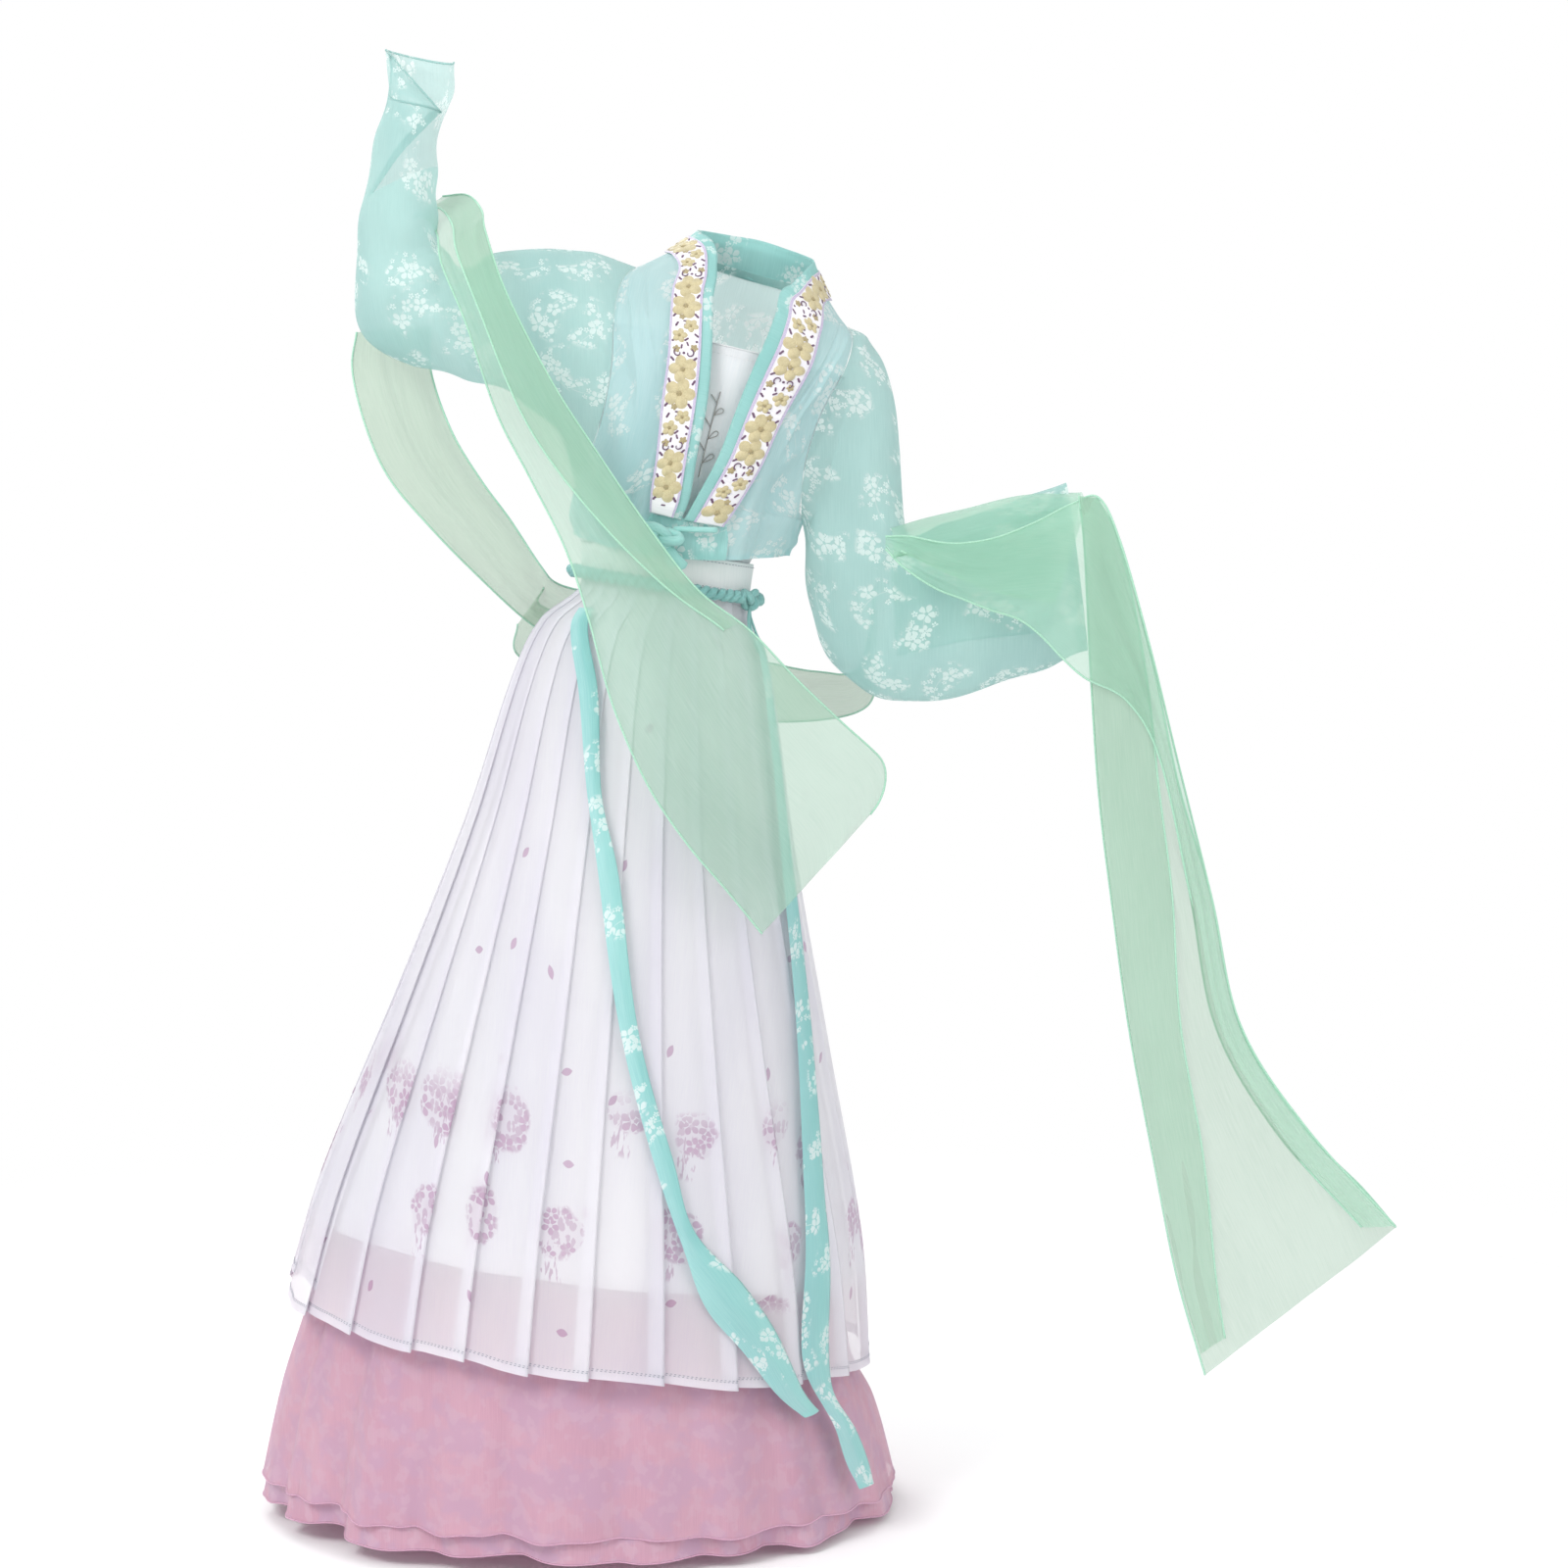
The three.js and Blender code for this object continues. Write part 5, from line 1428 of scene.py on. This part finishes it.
@dataclass
class Belt:
    """The twisted cord belt, its knot on the left hip, and its two hanging ribbons."""

    wardrobe: Wardrobe
    height: float = -36.0
    out: float = 11.0
    strand: float = 4.2
    helix: float = 3.0
    twists: int = 30
    knot_angle: float = 66.0
    ribbon_out: float = 12.0
    right_rows: Table = (
        (0, 47, -868, 51.5, -862), (1, 35.5, -797, 44, -785), (2, 26, -748, 34.5, -728),
        (3, 20, -682, 23.2, -675), (4, 13.5, -604, 18, -604), (5, 4, -484, 8.5, -482),
        (6, -6, -342, 0, -338), (7, -14, -256, -9, -255), (8, -25, -150, -17, -146),
        (9, -43, -72, -34, -70))
    left_rows: Table = (
        (0, 56.5, -962, 61, -961), (1, 54, -925, 60.5, -925), (2, 53, -853, 58, -853),
        (3, 49, -790, 58, -792), (4, 51, -685, 59.5, -687), (5, 53, -600, 60.5, -602),
        (6, 58, -424, 66, -424), (7, 61, -275, 69, -275), (8, 60, -124, 68, -122),
        (9, 60, -76, 68, -75))

    def cord(self) -> bpy.types.Object:
        """Two strands laid round each other: each circles the belt's line as it goes round."""
        turn = np.linspace(self.knot_angle + 8, self.knot_angle + 352, 720)
        line = SKIRT.at(np.full(720, self.height), turn, self.out)
        away = line - line.mean(0)
        away /= np.linalg.norm(away, axis=-1, keepdims=True)
        up = np.array([0.0, 0.0, 1.0])
        parts = []
        for k in range(2):
            phase = np.radians(turn) * self.twists + np.pi * k
            bumps = 1 + 0.10 * np.sin(phase * 2.7) + 0.08 * drift(turn / 9, 0 * turn + k, 91)
            path = line + self.helix * MM * (np.cos(phase)[:, None] * away
                                             + np.sin(phase)[:, None] * up)
            parts.append(tube(path, self.strand * MM * bumps, 9))
        return placed(mesh_of("Belt cord", parts), self.wardrobe["belt cord"],
                      Role("belt_cloth", ("belt_cord",)))

    def knot(self) -> bpy.types.Object:
        """The belt's knot: a three-lobed overhand knot of the same cord, and a thin loop."""
        t = np.linspace(0, 2 * np.pi, 181)[:-1]
        centre = SKIRT.at(self.height, self.knot_angle, self.out)
        turn = math.radians(self.knot_angle)
        along = np.array([math.cos(turn), math.sin(turn), 0.0])
        across = np.array([math.sin(turn), -math.cos(turn), 0.0])
        x = (np.sin(t) + 2 * np.sin(2 * t)) / 3 * 10.5
        z = (np.cos(t) - 2 * np.cos(2 * t)) / 3 * 9.5
        loop = (x[:, None] * along + z[:, None] * np.array([0.0, 0.0, 1.0])
                - np.sin(3 * t)[:, None] * 4.5 * across) * MM
        path = centre + np.concatenate([loop, loop[:2]])
        parts = [tube(path, 0.0041, 10, up=across)]
        bow = np.linspace(0, 1, 24)
        for reach, lean in ((34, -5), (46, 4)):
            hang = SKIRT.at(self.height - 8 - reach * np.sin(np.pi * bow) ** 0.8,
                            self.knot_angle + lean * np.sin(2 * np.pi * bow) * 0.7 - 2,
                            self.out + 2 - 5 * np.sin(np.pi * bow))
            parts.append(tube(hang, 0.0013, 6))
        return placed(mesh_of("Belt knot", parts), self.wardrobe["belt cord"],
                      Role("belt_cloth", ("belt_knot",)))

    def ribbon(self, name: str, node: str, rows: Table, seed: int) -> bpy.types.Object:
        """A hanging ribbon: pressed flat, folded back on itself along one edge, with slow
        twists where it narrows and a cross hem at its free end."""
        s = np.linspace(0, 9, 220)[:, None]
        angle_a, rise_a, angle_b, rise_b = np.moveaxis(read(rows, s[:, 0]), -1, 0)[..., None]
        c = np.concatenate([np.linspace(0, 1, 16), np.linspace(0.97, 0.52, 7)])[None, :]
        behind = np.where(np.arange(23) >= 16, -1.3, 0.0)[None, :]
        front = np.clip(c, 0, 1)
        arch = 1.4 * np.sin(np.pi * front) + 0.9 * folds(front * 0.5, s / 2.5, 1.2, seed)
        out = self.ribbon_out + arch + behind
        points = OVER_SKIRTS.at(mix(rise_a, rise_b, front), mix(angle_a, angle_b, front), out)
        cloth = patch(points, origin=(seed * 0.7, 0.0))
        thing = mesh_of(name, [cloth, turned_hem(cloth, "low", 0.007)])
        placed(thing, self.wardrobe["ribbon chiffon"], Role("belt_cloth", (node,)))
        return thing

    def build(self) -> None:
        """Makes the cord, the knot and both ribbons."""
        self.cord()
        self.knot()
        self.ribbon("Ribbon right", "ribbon_right", self.right_rows, 1)
        self.ribbon("Ribbon left", "ribbon_left", self.left_rows, 2)


# ---------------------------------------------------------------- scarf

@dataclass(frozen=True)
class Stretch:
    """One stretch of the scarf: its edges' table and how its cloth falls.

    Attributes:
        name: the piece's name.
        node: the CAD node it replaces.
        rows: section, one edge, the other edge, and how far it bulges forward between them.
        finish: its material.
        count: folds across it.
        high: their height in millimetres.
        flat: the cut it stands for, in metres; not used.
        area: of that cut, in square metres; not used.
        seed: of its unevenness.
        corner: how far its free end's second corner is rounded off, as a share of the width.
    """

    name: str
    node: str
    rows: Table
    finish: str
    count: float
    high: float
    flat: tuple[float, float]
    area: float
    seed: int
    corner: float = 0.0


FRONT_TAIL: Table = (
    (0, 100, -182, -391, 243, -150, -236, 4), (1, 61, -196, -341, 216, -166, -206, 10),
    (2, 23, -204, -295, 181, -176, -174, 14), (3, -16, -206, -236, 135, -180, -130, 16),
    (4, -51, -196, -157, 88, -176, -81, 16), (5, -77, -170, -68, 35, -168, -40, 14),
    (6, -102, -140, 2, -16, -156, 24, 12), (7, -140, -120, 76, -73, -146, 107, 10),
    (8, -174, -112, 142, -116, -136, 174, 8), (9, -206, -108, 235, -162, -122, 263, 6),
    (10, -232, -92, 296, -187, -84, 330, 5), (11, -240, -60, 330, -194, -52, 356, 5),
    (12, -256, -18, 352, -212, -16, 375, 3), (13, -272, 6, 356, -240, 4, 376, 1))
BACK_LOOP: Table = (
    (0, -116, 98, -104, -78, 82, -48, 0), (1, -158, 62, -76, -122, 52, -36, 4),
    (2, -212, 20, -22, -140, 30, -16, 8), (3, -254, -6, 24, -172, 16, 34, 10),
    (4, -296, -14, 75, -202, 6, 76, 10), (5, -320, -16, 127, -232, 0, 127, 10),
    (6, -336, -10, 190, -254, 6, 190, 6), (7, -332, -4, 232, -256, 8, 240, 4))
BACK_STRETCH: Table = (
    (0, -168, 66, -80, -138, 46, -40, 0), (1, -172, 128, -116, -146, 112, -60, -10),
    (2, -110, 196, -156, -96, 176, -80, -20), (3, -10, 216, -182, -4, 200, -104, -20),
    (4, 90, 196, -192, 88, 180, -122, -16), (5, 166, 146, -188, 160, 136, -134, -8),
    (6, 212, 92, -172, 206, 86, -126, -4), (7, 226, 62, -140, 222, 60, -40, 0))
LEFT_TAIL: Table = (
    (0, 561, -152, -856, 761, -138, -704, 4), (1, 530, -154, -750, 725, -142, -662, 12),
    (2, 507, -156, -637, 663, -146, -598, 16), (3, 479, -158, -493, 596, -150, -494, 14),
    (4, 460, -160, -361, 564, -152, -357, 12), (5, 446, -160, -250, 530, -152, -245, 10),
    (6, 437, -160, -129, 502, -154, -119, 6), (7, 430, -158, 0, 468, -156, 6, 4),
    (8, 424, -156, 56, 442, -156, 54, 2))
ARM_DRAPE: Table = (
    (0, 244, 236, -50, 22, 0, -112, 60), (1, 276, 270, -56, 32, -15, -104, 56),
    (2, 310, 314, -66, 43, -30, -96, 50), (3, 351, 370, -82, 57, -44, -90, 44),
    (4, 404, 432, -94, 60, -52, -84, 38))
SWAG: Table = (
    (0, 228, -104, 2, 228, -104, 15, 0), (1, 248, -114, -18, 253, -110, 15, 3),
    (2, 278, -126, -38, 283, -118, 9, 7), (3, 308, -136, -50, 308, -126, 8, 9),
    (4, 333, -144, -60, 342, -134, 14, 10), (5, 363, -150, -70, 382, -142, 30, 10),
    (6, 385, -156, -86, 417, -152, 48, 10), (7, 408, -162, -110, 444, -160, 54, 8),
    (8, 431, -166, -130, 466, -166, 8, 7), (9, 474, -168, -154, 496, -168, -96, 5),
    (10, 508, -166, -214, 526, -166, -214, 3), (11, 540, -162, -352, 562, -160, -352, 2),
    (12, 568, -162, -490, 594, -158, -488, 2), (13, 632, -158, -600, 662, -156, -594, 2),
    (14, 722, -156, -700, 758, -150, -700, 2))


@dataclass
class Scarf:
    """The long chiffon scarf, carried over both arms."""

    wardrobe: Wardrobe

    def strip(self, rows: Table, s: Array, t: Array, out: Array | float = 0.0) -> Array:
        """Points of a stretch: straight between its edges, bulged forward by a parabola."""
        s, t = np.broadcast_arrays(s, t)
        values = read(rows, s)
        points = mix(values[..., 0:3], values[..., 3:6], t[..., None])
        points[..., 1] -= values[..., 6] * 4 * t * (1 - t) + out
        return points * MM

    def edge_thread(self, name: str, edges: Sequence[Array]) -> bpy.types.Object:
        """Rolled edges: a fine tube along each edge of the cloth."""
        return placed(mesh_of(name, [tube(path, 0.0011, 6) for path in edges]),
                      self.wardrobe["mint edge thread"], Role("scarf_cloth"))

    def lay(self, item: Stretch) -> bpy.types.Object:
        last = item.rows[-1][0]
        s = np.linspace(0, last, 40 * int(last))[:, None]
        t = np.linspace(0, 1, 90)[None, :]
        open_end = 1 - 0.55 * ease(0.5, 1.0, s / last)
        out = item.high * folds(t, s / 4, item.count, item.seed) * open_end
        out = out + 0.14 * item.high * folds(t, s / 3, item.count * 2.4, item.seed + 9)
        near_end = np.clip(1 - s / 0.9, 0, 1)
        points = self.strip(item.rows, s, t * (1 - item.corner * (
            1 - np.sqrt(1 - near_end**2))), out)
        cloth = patch(points)
        thing = mesh_of(item.name, [cloth])
        placed(thing, self.wardrobe[item.finish], Role("scarf_cloth", (item.node,)))
        edge = self.edge_thread(f"{item.name} edge", [points[:, 0], points[:, -1]])
        return thing

    def front_doubled(self) -> bpy.types.Object:
        """The upper part of the front tail, folded double: a second layer in front."""
        s = np.linspace(4.2, 12.6, 220)[:, None]
        t = np.linspace(0, 1, 40)[None, :]
        reach = mix(0.10, 0.62, ease(4.2, 7.5, s))
        share = 1.0 - reach * (1 - t) - 0.02
        out = 2.6 + 1.6 * folds(t, s / 3, 1.6, 121)
        points = self.strip(FRONT_TAIL, s, share, out)
        thing = mesh_of("Scarf front fold", [patch(points)])
        placed(thing, self.wardrobe["scarf chiffon"], Role("scarf_cloth"))
        edge = self.edge_thread("Scarf front fold edge", [points[:, 0]])
        return thing

    def swag(self) -> bpy.types.Object:
        """The stretch that swings across the front of the forearm and on into the left tail."""
        s = np.linspace(0, 14, 400)[:, None]
        t = np.linspace(0, 1, 80)[None, :]
        out = 2.2 * folds(t, s / 5, 1.6, 141) + 0.8 * folds(t, s / 2.2, 4.5, 145)
        for s0, t0, s1, t1, width, high in ((0.0, 0.8, 6.5, 0.75, 0.10, 3.0),
                                            (0.5, 0.4, 6.8, 0.55, 0.10, -2.5),
                                            (6.8, 0.95, 9.6, 0.45, 0.08, -3.0),
                                            (6.6, 0.70, 9.8, 0.20, 0.09, 3.0)):
            out = out + crease(s / 5, t, (s0 / 5, t0), (s1 / 5, t1), width, high)
        points = self.strip(SWAG, s, t, out)
        thing = mesh_of("Scarf swag", [patch(points[::-1])])
        # The swag wears the lighter copy of the scarf cloth: painted light.
        placed(thing, self.wardrobe["scarf chiffon painted light"], Role("scarf_cloth"))
        edge = self.edge_thread("Scarf swag edge", [points[:, 0], points[:, -1]])
        return thing

    def tail_doubled(self) -> bpy.types.Object:
        """The left tail's folded-over part: a second layer in front of its inner side."""
        s = np.linspace(0.2, 8, 240)[:, None]
        t = np.linspace(0, 1, 50)[None, :]
        reach = mix(0.10, 1.0, ease(-0.5, 8.5, s) ** 0.9)
        out = 2.2 + 1.8 * folds(t, s / 3, 1.5, 151)
        points = self.strip(LEFT_TAIL, s, 0.01 + reach * t, out)
        thing = mesh_of("Scarf tail fold", [patch(points)])
        placed(thing, self.wardrobe["scarf chiffon"], Role("scarf_cloth"))
        edge = self.edge_thread("Scarf tail fold edge", [points[:, -1]])
        return thing

    def arm(self) -> bpy.types.Object:
        """The stretch over the left forearm: up its front, over the arm and down behind."""
        s = np.linspace(0, 4, 120)[:, None]
        x, top_x, y, top, front, back, half = np.moveaxis(read(ARM_DRAPE, s), -1, 0)
        c = np.linspace(0, 3, 120)[None, :]
        shoulder = top - half / 2
        rise_front, rise_back = np.clip(c, 0, 1), np.clip(3 - c, 0, 1)
        bend = np.clip(c - 1, 0, 1) * np.pi
        side = -np.cos(bend) * half
        height = np.where(c < 1, mix(front, shoulder, rise_front),
                          np.where(c > 2, mix(back, shoulder, rise_back),
                                   shoulder + np.sin(bend) * half / 2))
        along = np.where(c < 1, mix(x, top_x, rise_front),
                         np.where(c > 2, mix(x, top_x, rise_back), top_x))
        points = np.stack([along, y + side, height], -1) * MM
        out = 2.4 * folds(c / 3, s / 6, 5.0, 131) + 1.2 * folds(c / 3, s / 3, 11.0, 137)
        points = raised(points, out * MM)
        cloth = patch(points)
        thing = mesh_of("Scarf over left arm", [cloth])
        # This stretch wears the lighter copy of the scarf cloth: painted light.
        placed(thing, self.wardrobe["scarf chiffon painted light"],
               Role("scarf_cloth", ("scarf_arm_drape",)))
        edge = self.edge_thread("Scarf over left arm edge", [points[:, 0], points[:, -1]])
        return thing

    def build(self) -> None:
        """Makes every stretch of the scarf."""
        self.lay(Stretch("Scarf front tail", "scarf_front_tail", FRONT_TAIL, "scarf chiffon",
                         2.4, 3.2, (0.20, 0.86), 0.105, 101, 0.22))
        self.front_doubled()
        # Both stretches behind the body wear the darker copy of the scarf cloth: painted shade.
        self.lay(Stretch("Scarf back loop", "scarf_back_loop", BACK_LOOP, "scarf chiffon painted shade behind",
                         2.2, 4.6, (0.10, 0.38), 0.034, 103))
        self.lay(Stretch("Scarf across back", "scarf_back", BACK_STRETCH, "scarf chiffon painted shade behind",
                         2.6, 2.0, (0.08, 0.62), 0.045, 105))
        self.arm()
        self.swag()
        self.tail_doubled()
        # The left tail wears the darker, greyer copy of the scarf cloth: painted shade.
        self.lay(Stretch("Scarf left tail", "scarf_left_tail", LEFT_TAIL, "scarf chiffon painted shade low",
                         2.2, 3.0, (0.20, 0.92), 0.112, 107))


# ---------------------------------------------------------------- studio

@dataclass
class Studio:
    """A plain pale floor, soft lights and the camera."""

    focal: float = 77.1
    distance: float = 3.6
    side: float = 0.1226
    tilt: float = 3.97

    def camera(self) -> None:
        """Puts the camera straight in front, tilted a little down."""
        data = bpy.data.cameras.new("camera")
        data.lens = self.focal
        data.sensor_width = 36.0
        data.clip_end = 60.0
        camera = bpy.data.objects.new("camera", data)
        camera.location = (self.side, -self.distance, 0.0)
        camera.rotation_euler = (math.radians(90 - self.tilt), 0.0, 0.0)
        bpy.context.scene.collection.objects.link(camera)
        bpy.context.scene.camera = camera

    def floor(self) -> None:
        """A wide pale floor just under the robe."""
        half, low = 12.0, -1.030
        points = np.array([[[-half, -half, low], [half, -half, low]],
                           [[-half, half, low], [half, half, low]]])
        floor = mesh_of("Studio floor", [patch(points)])
        graph = Graph("studio floor")
        tone = graph.noise(graph.node("TexCoord").outputs["Object"], 3.0)
        colour = graph.mixed(tone, linear(254, 254, 254), linear(250, 250, 251))
        face = graph.node("BsdfPrincipled", {"Base Color": colour, "Roughness": 0.9})
        x, y, _ = graph.split(graph.node("TexCoord").outputs["Object"])
        far = graph.math("SQRT", graph.math("ADD", graph.math("MULTIPLY", x, x),
                                            graph.math("MULTIPLY", y, y)))
        clear = graph.node("BsdfTransparent")
        shader = graph.node("MixShader", {0: graph.step(far, 0.7, 2.2), 1: face.outputs[0],
                                          2: clear.outputs[0]})
        graph.node("OutputMaterial", {0: shader.outputs[0]})
        floor.data.materials.append(graph.material)

    def lamp(self, name: str, place: Sequence[float], aim: Sequence[float], size: float,
             power: float, colour: Colour = (1.0, 1.0, 1.0)) -> None:
        """A square soft light that points from its place at its aim."""
        data = bpy.data.lights.new(name, "AREA")
        data.size = size
        data.energy = power
        data.color = colour
        lamp = bpy.data.objects.new(name, data)
        lamp.location = place
        away = np.array(place) - np.array(aim)
        flat = math.hypot(away[0], away[1])
        lamp.rotation_euler = (math.atan2(flat, away[2]), 0.0, math.atan2(away[0], -away[1]))
        bpy.context.scene.collection.objects.link(lamp)

    def lights(self) -> None:
        """A pale sky all round, a large key from the upper left and a fill from behind."""
        world = bpy.data.worlds.new("studio air")
        bpy.context.scene.world = world
        world.use_nodes = True
        sky = world.node_tree.nodes["Background"]
        sky.inputs["Color"].default_value = (1.0, 1.0, 1.0, 1.0)
        rays = world.node_tree.nodes.new("ShaderNodeLightPath")
        strength = world.node_tree.nodes.new("ShaderNodeMapRange")
        strength.inputs["To Min"].default_value = 0.86
        strength.inputs["To Max"].default_value = 1.0
        world.node_tree.links.new(rays.outputs["Is Camera Ray"], strength.inputs["Value"])
        world.node_tree.links.new(strength.outputs[0], sky.inputs["Strength"])
        centre = (0.1, 0.0, -0.2)
        self.lamp("key", (-2.2, -2.6, 2.2), centre, 1.6, 84.0)
        self.lamp("fill", (2.6, -2.4, 0.8), centre, 2.2, 26.0)
        self.lamp("rim", (-1.6, 2.4, 2.0), centre, 1.6, 45.0)

    def build(self) -> None:
        """Makes the stage."""
        self.camera()
        self.floor()
        self.lights()
        bpy.context.scene.view_settings.view_transform = "Standard"


def main() -> None:
    """Builds the stage, then the robe from the body outward; each piece's face count is logged as it is
    placed.
    """
    logging.basicConfig(level=logging.INFO, format="%(name)s: %(message)s")
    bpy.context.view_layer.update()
    Studio().build()
    wardrobe = Wardrobe()
    Camisole(wardrobe).build()
    Skirt(wardrobe).build()
    Underskirt(wardrobe).build()
    Jacket(wardrobe).build()
    Collar(wardrobe).build()
    Belt(wardrobe).build()
    Scarf(wardrobe).build()


if __name__ == "__main__":
    main()
